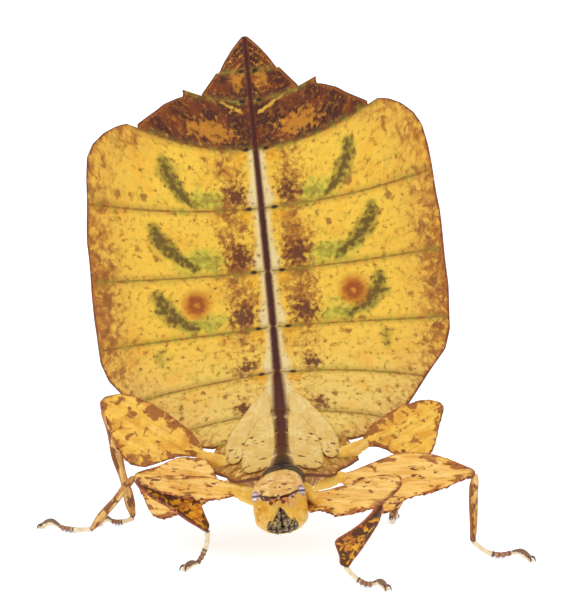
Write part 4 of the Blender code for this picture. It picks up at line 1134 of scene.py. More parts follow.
def tubeRings(path, radii, around, facing=(0.02, 0.03, 1.0)):
    # Round rings along a path, and the same frame for every ring so that none twists.
    ahead = np.gradient(path, axis=0)
    ahead = ahead / np.linalg.norm(ahead, axis=1)[:, None]
    facing = np.asarray(facing, float)
    out = facing - (ahead @ facing)[:, None] * ahead
    out = out / np.linalg.norm(out, axis=1)[:, None]
    across = np.cross(ahead, out)
    angle = np.linspace(0, 2 * math.pi, around, endpoint=False)
    cosine, sine = np.cos(angle)[None, :, None], np.sin(angle)[None, :, None]
    radii = np.asarray(radii)
    radii = radii[:, None, None] if radii.ndim == 1 else radii[..., None]
    return path[:, None, :] + radii * (across[:, None, :] * cosine + out[:, None, :] * sine)


def tubeSkin(path, rings):
    # The finish's own coordinates on a tube: length along it, length round it, and a number of its own.
    steps = np.concatenate([[0], np.cumsum(np.linalg.norm(np.diff(path, axis=0), axis=1))])
    around = rings.shape[1]
    turn = np.abs(np.arange(around) / around - 0.5) * 3.0
    return np.stack(np.broadcast_arrays(steps[:, None], turn[None, :], path[:1, 0:1] * 3), axis=-1)


def ball(name, centre, axes, radii, material, fieldsOf, rows=48, around=64):
    lat = np.linspace(-math.pi / 2, math.pi / 2, rows)[1:-1, None]
    turn = np.linspace(0, 2 * math.pi, around, endpoint=False)[None, :]
    parts = np.cos(lat) * np.cos(turn), np.cos(lat) * np.sin(turn), np.sin(lat)
    local = np.stack(np.broadcast_arrays(*parts), axis=-1)
    rings = np.asarray(centre) + (local * np.asarray(radii)) @ np.array(axes)
    return loft(name, rings, material, fieldsOf(local))


foot = {
    "joints": (0.0, 0.36, 0.45, 0.53, 0.61, 1.0),  # shares of the foot's length where its five joints meet
    "radii": (
        (0, 0.34), (0.05, 0.37), (0.15, 0.31), (0.30, 0.32), (0.35, 0.39), (0.375, 0.30),
        (0.43, 0.37), (0.46, 0.28), (0.51, 0.36), (0.54, 0.27), (0.59, 0.34),
        (0.625, 0.27), (0.70, 0.36), (0.80, 0.48), (0.88, 0.50), (0.95, 0.38), (1, 0.16),
    ),
    "arch": (0.30, 0.80, 0.11),  # height, and where it stands and its half length as shares of the foot
    "heel": (0.12, 0.03, 0.022),  # how far each joint's sole flares down, how far before the joint, half length
    "stations": 150,
    "around": 24,
    "claw": (1.0, 0.2),  # length and radius at the root
    "solePad": (0.5, 0.42, 0.22),
}

footLook = {
    "base": "EAD8B4", "tint": "DDB98A", "rust": "92502E", "band": "4A2412", "top": "6A4632",
    "claw": "4A2A1C", "under": "F0E4CE",
}


def footMaterial():
    look = footLook
    material, tree, shader = startMaterial("footCuticle")
    skin = readField(tree, "skin", vector=True)
    cloud = grainNoise(tree, skin, 0.9, 3.0, 0.55)
    ragged = centred(tree, grainNoise(tree, skin, 1.9, 2.5), 1.4)
    colour = stain(tree, tone(look["base"]), cloud, 0.4, 0.65, 0.8, look["tint"])
    for field, low, high, strength in (("rust", 0.30, 0.85, 0.85), ("top", 0.25, 0.8, 0.9),
                                       ("band", 0.40, 0.75, 0.9)):
        shown = calc(tree, "ADD", readField(tree, field), ragged)
        colour = stain(tree, colour, shown, low, high, strength, look[field])
    finishMaterial(tree, shader, colour, skin, roughness=0.40, bump=0.3, coat=0.12, fine=6.0, depth=0.06)
    return material


def hornMaterial(name, colour, under):
    material, tree, shader = startMaterial(name)
    place = readField(tree, "skin", vector=True)
    cloud = grainNoise(tree, place, 1.6, 4.0, 0.6)
    mixed = blendColour(tree, softStep(tree, cloud, 0.35, 0.7), tone(colour), tone(under))
    finishMaterial(tree, shader, mixed, place, roughness=0.32, bump=0.2, coat=0.25, fine=6.0, depth=0.05)
    return material


footFinish = footMaterial()
clawFinish = hornMaterial("clawHorn", footLook["claw"], "7A4A30")
padHorn = hornMaterial("solePad", footLook["under"], footLook["tint"])


def buildFoot(name, leg):
    path = smoothPath([leg["ankle"], *leg["foot"]], 30)
    gone = np.concatenate([[0], np.cumsum(np.linalg.norm(np.diff(path, axis=0), axis=1))])
    share = np.linspace(0, 1, foot["stations"])
    path = np.stack([np.interp(share * gone[-1], gone, path[:, k]) for k in range(3)], axis=-1)
    high, where, long = foot["arch"]
    path[:, 2] += high * bell(share - where, long)
    nearest = np.min(np.abs(share[:, None] - np.array(foot["joints"][1:-1])), axis=1)
    rings = tubeRings(path, at(foot["radii"], share), foot["around"])
    turn = np.linspace(0, 2 * math.pi, foot["around"], endpoint=False)
    deep, before, long = foot["heel"]
    flare = deep * sum(bell(share - joint + before, long) for joint in foot["joints"][1:-1])
    rings[..., 2] -= flare[:, None] * np.clip(-np.sin(turn), 0, 1)
    rings[..., 2] = np.maximum(rings[..., 2], 0.0)
    above = smoothStepOf(np.sin(turn), -0.5, 0.5)[None, :]
    last = smoothStepOf(share, 0.60, 0.68)
    banded = bell(share - foot["joints"][1], 0.028) + 0.8 * bell(nearest, 0.014) + 0.6 * bell(share, 0.05)
    fields = {
        "skin": tubeSkin(path, rings),
        "rust": (smoothStepOf(share, 0.36, 0.42) * smoothStepOf(share, 0.70, 0.60))[:, None]
                + 0 * rings[..., 0],
        "band": banded[:, None] + 0 * rings[..., 0],
        "top": (last * smoothStepOf(share, 1.1, 0.9))[:, None] * above + 0 * rings[..., 0],
    }
    piece = loft(f"foot_{name}", rings, footFinish, fields)
    dress(piece, "tarsus_cuticle", f"tarsus_{name}")
    buildClaws(name, path)


def buildClaws(name, path):
    # Two hooked claws and the pale pad between them.
    tip = path[-1]
    flat = unit([*(path[-1] - path[-14])[:2], 0.0])
    side = np.array([-flat[1], flat[0], 0.0])
    length, thick = foot["claw"]
    for label, sign in (("In", 1), ("Out", -1)):
        root = tip - flat * 0.45 + side * sign * 0.14 + np.array([0, 0, 0.12])
        bend = root + flat * length * 0.55 + side * sign * 0.22
        end = root + flat * length * 0.82 + side * sign * 0.34
        end[2] = 0.08
        curve = smoothPath([root, bend, end], 10)
        radii = thick * np.linspace(1, 0.14, len(curve)) ** 0.7
        rings = tubeRings(curve, radii, 14)
        rings[..., 2] = np.maximum(rings[..., 2], 0.0)
        claw = loft(f"claw{label}_{name}", rings, clawFinish, {"skin": tubeSkin(curve, rings)})
        dress(claw, "tarsus_cuticle")
    centre = tip - flat * 0.15
    centre[2] = 0.22
    axes = (flat, side, np.array([0, 0, 1.0]))
    pad = ball(f"solePad_{name}", centre, axes, foot["solePad"], padHorn,
               lambda local: {"skin": local * 2.0}, 18, 24)
    dress(pad, "tarsus_cuticle")


coxa = {
    "radii": ((0, 1.2), (0.35, 1.15), (0.62, 0.95), (0.66, 0.74), (0.72, 0.84), (0.9, 0.72), (1, 0.5)),
    "folds": (0.05, 0.8),  # height and pitch
    "foldWay": (0.3, -0.8, 0.4),
    "around": 28,
}


def buildCoxa(name, leg):
    hip, root = np.array(leg["hip"]), np.array(leg["root"])
    way = unit(np.subtract(leg["knee"], leg["hip"]))
    shift = np.array(leg.get("coxaShift", (0, 0, 0)))
    points = [root + shift, (root + hip) / 2 + shift, hip - way * 0.3 + shift * 0.7, hip + way * 0.9]
    path = smoothPath(points, 16)
    share = np.linspace(0, 1, len(path))
    rings = tubeRings(path, at(coxa["radii"], share), coxa["around"], (0.1, -0.3, 1.0))
    high, pitch = coxa["folds"]
    folds = high * ripple(rings[..., 0], rings[..., 2], pitch, 4)
    rings = rings + folds[..., None] * np.array(coxa["foldWay"])
    none = 0 * rings[..., 0]
    fields = {"skin": tubeSkin(path, rings), "edge": none + 5, "share": none + 0.5 * share[:, None]}
    piece = loft(f"hip_{name}", rings, legFinish["hip"], fields)
    dress(piece, "femur_cuticle", f"coxa_{name}")


def buildLeg(name, leg, seed):
    fore, hind = name.startswith("fore"), name.startswith("hind")
    teeth = (0.35, 0.7) if hind else (0.3, 1.0)
    femur = leafBlade(f"thigh_{name}", leg["hip"], leg["knee"], leg["leaf"],
                      leg["shape"], leafShape["femurShaft"],
                      leafShape["femurRows"], teeth, legFinish["hindFemur" if hind else "femur"], seed,
                      leg.get("base", 0.0), leg.get("spots", ()))
    dress(femur, "femur_cuticle", f"femur_{name}")
    shin = leafBlade(f"shin_{name}", leg["knee"], leg["ankle"], leg["shin"],
                     "lobedShin" if fore else "slimShin",
                     leafShape["shinShaft"], leafShape["shinRows"], (0, 0),
                     legFinish["foreTibia" if fore else "tibia"], seed + 50)
    dress(shin, "tibia_cuticle", f"tibia_{name}")
    buildCoxa(name, leg)
    buildFoot(name, leg)


for legSeed, (legName, legFacts) in enumerate(legs.items()):
    buildLeg(legName, legFacts, legSeed)
print("legs built")


# Head: the smooth cap of the crown ends in an edge over the face, with the eyes at its ends

head = {
    "centre": (0.0, 0.0, 9.9),
    "slope": 56,
    "lean": 8,
    "length": 8.0,
    "squareness": 2.7,
    "rings": (  # share of the length, width, depth
        (0.0, 3.0, 2.0), (0.05, 4.6, 3.4), (0.15, 6.2, 4.6), (0.3, 6.9, 5.3),
        (0.45, 7.0, 5.4), (0.62, 7.0, 5.0), (0.78, 6.9, 4.5), (0.84, 6.5, 4.15),
        (0.90, 5.35, 3.6), (0.96, 4.5, 2.8), (1.0, 3.3, 2.0),
    ),
    "rows": 170,
    "endRows": 22,
    "around": 220,
    "endDome": 0.25,
    "backDome": 0.05,
    "skew": 0.14,
    "edgeForward": 0.30,
    "edgeCurve": 0.118,
    "socket": (0.70, 0.80),  # how far forward of the centre the antennae spring, and how far from the midline
    "mouthTop": 1.5,
    "mouthSpread": 0.70,
    "eyeForward": -0.62,
    "eyeAside": 2.88,
    "eyeLift": 1.42,
    "eyeRadius": 0.60,
    "crownDots": (0.32, -0.97),
    "crownNotch": (0.22, 0.16),  # depth and half width
    "seam": ((0.2, 1.95), (1.6, 1.55), (3.4, 1.75)),  # groove inside each cheek: forward, from the midline
    "cheekRidges": (0.045, 0.40),  # height and pitch
    "mouthDepth": 0.62,
    "mouthNotch": 0.45,
    "mouthWidest": 1.9,
}


def headAxes():
    slope, lean = math.radians(head["slope"]), math.radians(head["lean"])
    down = np.array([0, -math.cos(slope), -math.sin(slope)])
    side = np.array([math.cos(lean), 0, math.sin(lean)])
    face = unit(np.cross(down, side))
    return unit(np.cross(side, face)), side, face


headForward, headSide, headFace = headAxes()


def headPoint(forward, aside, lift):
    # A point by its distances from the head's centre: towards the mouth, to the animal's left and outwards.
    forward, aside, lift = np.broadcast_arrays(forward, aside, lift)
    move = forward[..., None] * headForward + aside[..., None] * headSide + lift[..., None] * headFace
    return np.asarray(head["centre"]) + move


def crownEdge(aside):
    deep, wide = head["crownNotch"]
    return head["edgeForward"] - head["edgeCurve"] * aside**2 - deep * bell(aside, wide)


def mouthHalf(forward):
    return np.clip((forward - head["mouthTop"]) * head["mouthSpread"], 0, head["mouthWidest"])


def faceRelief(f, v):
    far = np.abs(v)
    under = f - crownEdge(v)
    cap = 0.17 * smoothStepOf(under, 0.06, -0.06) * smoothStepOf(under, -3.4, -1.0)
    trough = -0.16 * smoothStepOf(under, -0.02, 0.10) * smoothStepOf(under, 1.0, 0.2)
    apart = np.hypot(f - head["socket"][0], far - head["socket"][1])
    sockets = 0.12 * bell(apart - 0.52, 0.11) - 0.22 * smoothStepOf(apart, 0.46, 0.30)
    costa = 0.14 * bell(v, 0.2) * smoothStepOf(under, 0.1, 0.5) * smoothStepOf(f, 2.0, 1.5)
    frons = 0.16 * bell(v, 1.15) * bell(f - 1.5, 0.8)
    seam = far - at(head["seam"], f)
    groove = -0.13 * bell(seam, 0.12) * smoothStepOf(f, 0.2, 0.7)
    cheek = smoothStepOf(seam, 0.05, 0.5) * smoothStepOf(f, -0.1, 0.8)
    bulge = 0.20 * cheek * bell(f - 1.8, 1.7)
    high, pitch = head["cheekRidges"]
    ridges = high * np.cos(far * 2 * math.pi / pitch + 0.5 * np.sin(f * 2))
    ridges = ridges * cheek * smoothStepOf(far, 3.3, 2.9)
    mouth = smoothStepOf(mouthHalf(f) - far, -0.04, 0.16) * smoothStepOf(f - head["mouthTop"], 0.0, 0.2)
    wrinkles = 0.018 * ripple(f * 1.4, v * 3.2, 0.7, 12)
    hollow = head["mouthDepth"] * mouth
    return cap + trough + sockets + costa + frons + groove + bulge + ridges - hollow + wrinkles, cheek, mouth


headLook = {
    "crown": "E8C078", "crownShade": "D29C4A", "crownFold": "B5803C", "dash": "6A3214",
    "face": "DFAA38", "cheek": "D29006", "bare": "E9BE62", "blush": "D2966E",
    # The line and brow colours are painted shade under the crown's edge: a dark line in the crease and a band
    # of dark spots on pale pink beige. The brow colour also gives the face its own scattered blots.
    "line": "43190C", "browShadeAndSpots": "5E2412", "browPale": "E2B69A", "eyeRing": "B48A92",
    "mouth": "3E2717", "mouthPale": "A08658", "mouthJoint": "1E100A",
}


def headMaterial():
    look = headLook
    material, tree, shader = startMaterial("headCuticle")
    skin = readField(tree, "skin", vector=True)
    cheek, mouth, under = (readField(tree, name) for name in ("cheek", "mouth", "under"))
    cloud = grainNoise(tree, skin, 0.8, 3.0, 0.55)
    small = grainNoise(tree, skin, 2.4, 2.5, 0.55)
    fold = grainNoise(tree, stretched(tree, skin, (0.32, 1.9, 1.0)), 1.25, 3.0, 0.55)
    ragged = centred(tree, small, 1.2)
    crown = stain(tree, tone(look["crown"]), cloud, 0.40, 0.62, 0.85, look["crownShade"])
    crown = stain(tree, crown, fold, 0.54, 0.66, 0.65, look["crownFold"])
    dash = useGroup(tree, flecks, Place=stretched(tree, skin, (0.5, 1.3, 1.0)),
                    Scale=1.7, Size=0.36, Share=0.42)
    crown = overlay(tree, crown, dash.outputs[0], 0.85, look["dash"])
    dots = calc(tree, "ADD", readField(tree, "dots"), calc(tree, "MULTIPLY", ragged, 0.25))
    crown = stain(tree, crown, dots, 0.2, 0.45, 0.9, look["dash"])

    face = blendColour(tree, cheek, tone(look["face"]), tone(look["cheek"]))
    face = stain(tree, face, cloud, 0.42, 0.60, 0.6, look["bare"])
    upright = grainNoise(tree, stretched(tree, skin, (2.2, 0.4, 1.0)), 1.4, 2.5, 0.55)
    face = stain(tree, face, upright, 0.52, 0.66, 0.5, look["crownFold"])
    face = stain(tree, face, calc(tree, "ADD", readField(tree, "blush"), ragged), 0.5, 1.0, 0.45, look["blush"])
    blots = useGroup(tree, blotches, Place=skin, Scale=2.0, Softness=0.08, Twist=0.6, Cover=0.19)
    face = overlay(tree, face, blots.outputs[0], 0.5, look["browShadeAndSpots"])
    # Painted shadow under the crown's edge: the brow band is laid pale pinkish beige with dark blotches. These
    # are partly the face's own mottling and partly painted shade.
    browShadeAndSpots = readField(tree, "browShadeAndSpots")
    face = stain(tree, face, calc(tree, "ADD", browShadeAndSpots, ragged), 0.3, 0.8, 0.7, look["browPale"])
    cover = calc(tree, "MULTIPLY", browShadeAndSpots, 0.62)
    spots = useGroup(tree, blotches, Place=skin, Scale=1.9, Softness=0.05, Twist=0.5, Cover=cover)
    face = overlay(tree, face, spots.outputs[0], 0.95, look["browShadeAndSpots"])
    colour = blendColour(tree, softStep(tree, under, -0.03, 0.03), crown, face)
    # Painted shade: a dark line in the crease just under the crown's edge.
    line = calc(tree, "ADD", readField(tree, "line"), calc(tree, "MULTIPLY", ragged, 0.8))
    colour = stain(tree, colour, line, 0.25, 0.6, 0.92, look["line"])
    ring = softStep(tree, readField(tree, "eyeGap"), 0.12, 0.34, 0.8, 0.0)
    colour = blendColour(tree, ring, colour, tone(look["eyeRing"]))
    dark = calc(tree, "ADD", mouth, calc(tree, "MULTIPLY", ragged, 0.5))
    colour = stain(tree, colour, dark, 0.35, 0.6, 1.0, look["mouth"])
    finishMaterial(tree, shader, colour, skin, roughness=0.42, bump=0.4, coat=0.10,
                   fine=5.0, depth=0.09, relief=fold)
    letLightIn(shader, 0.1, cuticle["thinGlowReach"])
    return material


def buildHead():
    share = np.linspace(0, 1, head["rows"])
    smooth = [softTable([(way, size[k]) for way, *size in head["rings"]], share, 0.035) / 2 for k in (0, 1)]
    turn = np.linspace(0, math.pi / 2, head["endRows"] + 2)[1:-1]
    reach = head["length"] / 2
    back, front = -reach - head["backDome"] * np.sin(turn), reach + head["endDome"] * np.sin(turn)
    forward = np.concatenate([back[::-1], (share - 0.5) * head["length"], front])
    half = [np.concatenate([size[0] * np.cos(turn)[::-1], size, size[-1] * np.cos(turn)]) for size in smooth]
    angle = np.linspace(0, 2 * math.pi, head["around"], endpoint=False)[None, :]
    power = 2 / head["squareness"]
    v = half[0][:, None] * np.sign(np.cos(angle)) * np.abs(np.cos(angle)) ** power
    w = half[1][:, None] * np.sign(np.sin(angle)) * np.abs(np.sin(angle)) ** power
    f = forward[:, None] + 0 * v
    relief, cheek, mouth = faceRelief(f, v)
    facing = smoothStepOf(np.sin(angle), 0.05, 0.45) + 0 * v
    relief = relief * facing
    shrink = smoothStepOf(forward, reach + head["endDome"], reach)[:, None]
    mouthOnEnd = (1 - smoothStepOf(np.abs(v), 1.6, 2.0)) * smoothStepOf(f, 3.6, 4.0)
    mouthOnEnd = mouthOnEnd * smoothStepOf(w, -1.2, -0.9)
    toEye = np.hypot(f - head["eyeForward"], w - head["eyeLift"]) - head["eyeRadius"]
    inward = smoothStepOf(toEye, 0.16, -0.1)
    v = v * (1 - 0.10 * inward * (np.abs(v) > 2)) * (1 + 0.012 * cheek)
    skewed = f - head["skew"] * v * smoothStepOf(-f, 0.8, 3.6)
    rings = headPoint(skewed - head["mouthNotch"] * mouthOnEnd, v, w + relief * shrink)
    under = f - crownEdge(v)
    # The line: painted shade in the crease just under the crown's edge.
    line = bell(under - 0.05, 0.10) * facing
    # The brow band: painted shade under the crown's edge, which the finish mottles with dark spots.
    browShadeAndSpots = bell(under - 0.30, 0.40) * smoothStepOf(np.abs(v), 2.9, 2.2) * facing
    blush = bell(v - 1.7, 0.8) * bell(f - 1.0, 1.6) * facing
    dots = patchField(np.abs(v), f, head["crownDots"], (0.2, 0.2)) * facing
    eyeGap = np.hypot(toEye + head["eyeRadius"], np.abs(v) - head["eyeAside"]) - head["eyeRadius"]
    fields = {
        "skin": np.stack([v, f, w], axis=-1),
        "cheek": cheek * facing * np.where(v < 0, 1.0, 0.4),
        "mouth": np.maximum(mouth * facing, mouthOnEnd),
        "under": np.where(facing > 0.02, under, np.abs(under) + 0.5),
        "line": line, "browShadeAndSpots": browShadeAndSpots, "blush": blush, "dots": dots, "eyeGap": eyeGap,
    }
    return dress(loft("headSkin", rings, headMaterial(), fields), "head_cuticle", "head")


eye = {
    "radii": (0.92, 1.05, 1.1),  # shares of the eye's radius forward, aside and out
    "band": (0.93, -0.30, 0.02, 0.30),  # tilt forward and out, place and half width of the dark band
    "pale": "E2DCE6", "shade": "B9A4B4", "dark": "34141A",
    "facetScale": 16.0, "facetDepth": 0.02,
}


def eyeMaterial():
    material, tree, shader = startMaterial("compoundEye")
    skin = readField(tree, "skin", vector=True)
    cloud = grainNoise(tree, skin, 1.8, 4.0, 0.6)
    colour = blendColour(tree, softStep(tree, cloud, 0.38, 0.66), tone(eye["shade"]), tone(eye["pale"]))
    ragged = centred(tree, cloud, 0.7)
    band = calc(tree, "ADD", readField(tree, "band"), ragged)
    colour = stain(tree, colour, band, 0.3, 0.7, 0.95, eye["dark"])
    facets = addNode(tree, "ShaderNodeTexVoronoi",
                     {"Vector": skin, "Scale": eye["facetScale"]}).outputs["Distance"]
    raised = addNode(tree, "ShaderNodeBump",
                     {"Strength": 0.25, "Distance": eye["facetDepth"] * mm, "Height": facets})
    tree.links.new(colour, shader.inputs["Base Color"])
    tree.links.new(raised.outputs["Normal"], shader.inputs["Normal"])
    shader.inputs["Roughness"].default_value = 0.16
    shader.inputs["Coat Weight"].default_value = 0.8
    shader.inputs["Coat Roughness"].default_value = 0.06
    return material


def eyeFields(local):
    ahead, outward, middleOfBand, halfBand = eye["band"]
    tilt = local[..., 0] * ahead + local[..., 2] * outward
    return {"skin": local * 0.65, "band": bell(tilt - middleOfBand, halfBand)}


def buildEyes():
    finish = eyeMaterial()
    for label, sign in (("Left", 1), ("Right", -1)):
        centre = headPoint(head["eyeForward"], sign * head["eyeAside"], head["eyeLift"])
        radii = head["eyeRadius"] * np.array(eye["radii"])
        piece = ball(f"eye{label}", centre, (headForward, headSide, headFace), radii, finish, eyeFields)
        dress(piece, "eye", f"eye_{label.lower()}")


antenna = {
    "length": 2.6,
    "way": (0.88, 0.44, -0.10),  # shares out of the face, forward and to the animal's left
    "rootLift": 2.15,
    "bow": 0.10,
    "radii": (
        (0, 0.46), (0.16, 0.44), (0.19, 0.34), (0.30, 0.38),
        (0.75, 0.32), (0.90, 0.28), (0.97, 0.19), (1, 0.06),
    ),
    "joints": (0.17, 0.97, 8),  # first and last as shares of the length, and how many
    "light": "D68A3E", "shade": "B05E26", "tip": "54200F",
    "around": 28,
}


def antennaMaterial():
    material, tree, shader = startMaterial("antennaCuticle")
    skin = readField(tree, "skin", vector=True)
    cloud = grainNoise(tree, skin, 1.4, 4.0, 0.6)
    colour = blendColour(tree, softStep(tree, cloud, 0.4, 0.7), tone(antenna["light"]), tone(antenna["shade"]))
    ragged = centred(tree, cloud, 0.8)
    band = calc(tree, "ADD", readField(tree, "band"), ragged)
    colour = stain(tree, colour, band, 0.35, 0.7, 0.92, antenna["tip"])
    finishMaterial(tree, shader, colour, skin, roughness=0.38, bump=0.25, coat=0.15, fine=8.0, depth=0.05)
    return material


def buildAntennae():
    finish = antennaMaterial()
    for label, sign in (("Left", 1), ("Right", -1)):
        forward, aside = head["socket"]
        root = headPoint(forward, sign * aside, antenna["rootLift"])
        way = unit(sum(part * axis for part, axis in zip(antenna["way"], (headFace, headForward, headSide))))
        bend = root + way * antenna["length"] * 0.5 + headFace * antenna["bow"]
        path = smoothPath([root, bend, root + way * antenna["length"]], 40)
        share = np.linspace(0, 1, len(path))
        joints = np.linspace(*antenna["joints"])
        nearest = np.min(np.abs(share[:, None] - joints), axis=1)
        radius = at(antenna["radii"], share) * (1 - 0.22 * bell(nearest, 0.012))
        rings = tubeRings(path, radius, antenna["around"], headSide)
        band = np.maximum(bell(nearest, 0.016) * 0.7, smoothStepOf(share, 0.84, 0.95))
        band = band[:, None] + 0 * rings[..., 0]
        piece = loft(f"antenna{label}", rings, finish, {"skin": tubeSkin(path, rings), "band": band})
        dress(piece, "antenna_cuticle", f"antenna_{label.lower()}")


def mouthMaterial():
    look = headLook
    material, tree, shader = startMaterial("mouthCuticle")
    skin = readField(tree, "skin", vector=True)
    patch = useGroup(tree, blotches, Place=skin, Scale=2.0, Softness=0.07, Twist=1.0, Cover=0.50)
    colour = blendColour(tree, patch.outputs[0], tone(look["mouth"]), tone(look["mouthPale"]))
    band = readField(tree, "band")
    colour = stain(tree, colour, band, 0.3, 0.8, 0.9, look["mouthJoint"])
    finishMaterial(tree, shader, colour, skin, roughness=0.36, bump=0.4, coat=0.2, fine=7.0, depth=0.06)
    return material


mouth = {
    "plates": (  # name, place of the middle as forward, aside and out, half sizes, and tilt down in degrees
        ("mandible", 2.30, 0.34, 1.90, 0.82, 0.36, 0.34, 20),
        ("maxilla", 3.30, 0.66, 1.25, 0.74, 0.58, 0.42, 42),
        ("labium", 3.85, 0.46, 0.62, 0.60, 0.44, 0.36, 65),
    ),
    "palpOuter": ((2.5, 0.95, 1.7), (3.0, 1.35, 1.5), (3.55, 1.75, 1.05), (3.95, 1.85, 0.45)),
    "palpInner": ((3.5, 1.15, 1.15), (3.9, 1.20, 0.85), (4.15, 0.95, 0.30), (4.15, 0.62, -0.10)),
    "palpRadius": 0.29,
    "palpJoints": (0.30, 0.55, 0.80),
    "palpTip": 0.1,
}


def buildMouth():
    finish = mouthMaterial()
    pieces = []
    for label, sign in (("Left", 1), ("Right", -1)):
        for k, (plate, forward, aside, lift, long, wide, thick, tilt) in enumerate(mouth["plates"]):
            bend = math.radians(tilt)
            along = headForward * math.cos(bend) - headFace * math.sin(bend)
            out = headFace * math.cos(bend) + headForward * math.sin(bend)
            centre = headPoint(forward, sign * aside, lift)

            def fields(local):
                rim = smoothStepOf(np.hypot(local[..., 0], local[..., 1]), 0.86, 0.98)
                return {"skin": local * (long, wide, thick) + np.array([sign * 3, k * 5, 0]), "band": rim}

            axes, radii = (along, headSide, out), (long, wide, thick)
            pieces.append(ball(f"{plate}{label}", centre, axes, radii, finish, fields, 40, 56))
        for which in ("Outer", "Inner"):
            points = [headPoint(f, sign * v, w) for f, v, w in mouth[f"palp{which}"]]
            path = smoothPath(points, 26)
            share = np.linspace(0, 1, len(path))
            nearest = np.min(np.abs(share[:, None] - np.array(mouth["palpJoints"])), axis=1)
            tip = np.maximum(roundOff((1 - share) / mouth["palpTip"]), 0.2)
            radius = mouth["palpRadius"] * (1 - 0.28 * bell(nearest, 0.03) - 0.12 * share) * tip
            rings = tubeRings(path, radius, 24, headFace)
            band = bell(nearest, 0.035)[:, None] + 0 * rings[..., 0]
            skin = tubeSkin(path, rings) + np.array([sign * 7.0, 0, 0])
            palp = loft(f"palp{which}{label}", rings, finish, {"skin": skin, "band": band})
            dress(palp, "mouth_cuticle", *([f"palps_{label.lower()}"] if which == "Outer" else []))
    for piece in pieces:
        dress(piece, "mouth_cuticle", "mouthparts")


collar = {
    "rings": (  # place, half width, depth, height of the top over the back line
        (-0.8, 2.2, 3.0, 0.5), (0.3, 2.6, 4.1, 0.65), (2.0, 2.8, 4.7, 0.85),
        (3.2, 2.85, 4.8, 0.9), (4.2, 2.9, 4.8, 0.95), (4.5, 2.7, 4.6, 0.7),
    ),
    "rows": 70,
    "around": 120,
    "roundness": 0.87,
    "rim": (0.10, 3.3, 0.25),  # depth, place and half length
    "groove": (0.20, 0.22),  # depth and half width
    "warts": (0.05, 0.55),  # height and pitch
    # top is the collar's own dark grey-brown together with painted shade, laid darkest on the collar's top
    "look": {"top": "2C201B", "sheen": "5E4C42", "side": "6E2C14", "low": "D9A648", "speck": "1E0F0A"},
}


def collarMaterial():
    look = collar["look"]
    material, tree, shader = startMaterial("pronotumCuticle")
    skin = readField(tree, "skin", vector=True)
    cloud = grainNoise(tree, skin, 1.1, 5.0, 0.65)
    ragged = centred(tree, cloud, 0.5)
    high = calc(tree, "ADD", readField(tree, "high"), ragged)
    colour = blendColour(tree, softStep(tree, high, 0.20, 0.42), tone(look["low"]), tone(look["side"]))
    # Painted shade: the top of the collar goes near-black, its own dark brown deepened as though in shadow.
    colour = stain(tree, colour, high, 0.42, 0.66, 1.0, look["top"])
    colour = stain(tree, colour, cloud, 0.50, 0.70, 0.55, look["sheen"])
    specks = useGroup(tree, flecks, Place=skin, Scale=1.8, Size=0.2, Share=0.5)
    colour = overlay(tree, colour, specks.outputs[0], 0.7, look["speck"])
    finishMaterial(tree, shader, colour, skin, roughness=0.40, bump=0.5, coat=0.15, fine=4.0, depth=0.12)
    return material


def buildCollar():
    place = np.linspace(collar["rings"][0][0], collar["rings"][-1][0], collar["rows"])
    half = [at([(ring[0], ring[k]) for ring in collar["rings"]], place) for k in (1, 2, 3)]
    angle = np.linspace(0, 2 * math.pi, collar["around"], endpoint=False)[None, :]
    power = collar["roundness"]
    v = half[0][:, None] * np.sign(np.cos(angle)) * np.abs(np.cos(angle)) ** power
    w = half[1][:, None] / 2 * np.sign(np.sin(angle)) * np.abs(np.sin(angle)) ** power
    up = np.clip(np.sin(angle), 0, 1) + 0 * v
    deep, where, long = collar["rim"]
    rim = deep * bell(place - where, long)[:, None]
    high, pitch = collar["warts"]
    warts = high * ripple(v * 1.6, place[:, None] + 0 * v, pitch, 31)
    deep, wide = collar["groove"]
    groove = deep * bell(v, wide) * smoothStepOf(place, 0.6, 1.4)[:, None]
    w = w + (warts - rim - groove) * up
    lift = (half[2] - half[1] / 2)[:, None] + w
    rings = onBack(np.maximum(place, 0)[:, None] + 0 * v, v, lift - at(bodyLine["camber"], 4.5) * v**2)
    rings[..., 1] += np.minimum(place, 0)[:, None]
    skin = np.stack(np.broadcast_arrays(v * 1.2, place[:, None], w), axis=-1)
    # high runs from 0 under the collar to 1 on its top, where the finish lays the painted shade.
    piece = loft("pronotum", rings, collarMaterial(), {"skin": skin, "high": (w / half[1][:, None] + 0.5)})
    dress(piece, "pronotum_cuticle", "prothorax")


buildCollar()
buildHead()
buildEyes()
buildAntennae()
buildMouth()
print("head built")


# Camera, light and floor

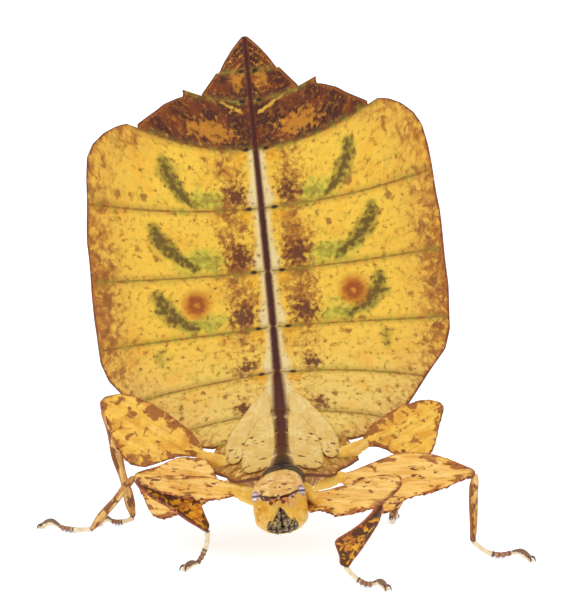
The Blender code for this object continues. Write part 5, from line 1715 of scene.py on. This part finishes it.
studio = {
    "cameraPlace": (0.0011335, -0.4600, 0.09783),
    "cameraTilt": 82.0,
    "lens": 203.8,
    "sky": 0.85,
    "floorTone": (0.98, 0.98, 0.98),
    "floorShade": (0.97, 0.97, 0.97),
    "floorGlow": 0.42,
    "floorGlowTone": (0.60, 0.80, 1.0, 1),
    "floorHalf": 6,
    "suns": (  # way the light comes from, strength, and how wide its disc is in degrees
        ((-0.55, -0.70, 0.75), 0.55, 50),
        ((0.45, -0.10, 1.00), 0.35, 60),
    ),
}


def setStudio():
    scene = bpy.context.scene
    camera = bpy.data.objects.new("camera", bpy.data.cameras.new("camera"))
    scene.collection.objects.link(camera)
    camera.location = studio["cameraPlace"]
    camera.rotation_euler = (math.radians(studio["cameraTilt"]), 0, 0)
    camera.data.lens = studio["lens"]
    scene.camera = camera
    scene.view_settings.view_transform = "Standard"
    world = bpy.data.worlds.new("studio")
    world.use_nodes = True
    world.node_tree.nodes["Background"].inputs[0].default_value = (1, 1, 1, 1)
    world.node_tree.nodes["Background"].inputs[1].default_value = studio["sky"]
    scene.world = world
    for k, (way, strength, wide) in enumerate(studio["suns"]):
        lamp = bpy.data.objects.new(f"softSun{k}", bpy.data.lights.new(f"softSun{k}", "SUN"))
        lamp.data.energy, lamp.data.angle = strength, math.radians(wide)
        lamp.rotation_euler = Vector(way).to_track_quat("Z", "Y").to_euler()
        scene.collection.objects.link(lamp)


def layFloor():
    material, tree, shader = startMaterial("paleFloor")
    texture = addNode(tree, "ShaderNodeTexCoord")
    tint = softStep(tree, grainNoise(tree, texture.outputs["Object"], 3.0), 0.3, 0.7)
    colour = blendColour(tree, tint, studio["floorShade"], studio["floorTone"])
    tree.links.new(colour, shader.inputs["Base Color"])
    shader.inputs["Roughness"].default_value = 0.7
    shader.inputs["Specular IOR Level"].default_value = 0.1
    shader.inputs["Emission Color"].default_value = studio["floorGlowTone"]
    shader.inputs["Emission Strength"].default_value = studio["floorGlow"]
    mesh = bpy.data.meshes.new("floor")
    far = studio["floorHalf"]
    mesh.from_pydata([(-far, -far, 0), (far, -far, 0), (far, far, 0), (-far, far, 0)], [], [(0, 1, 2, 3)])
    mesh.materials.append(material)
    floor = bpy.data.objects.new("floor", mesh)
    bpy.context.scene.collection.objects.link(floor)


setStudio()
layFloor()
print("studio set")
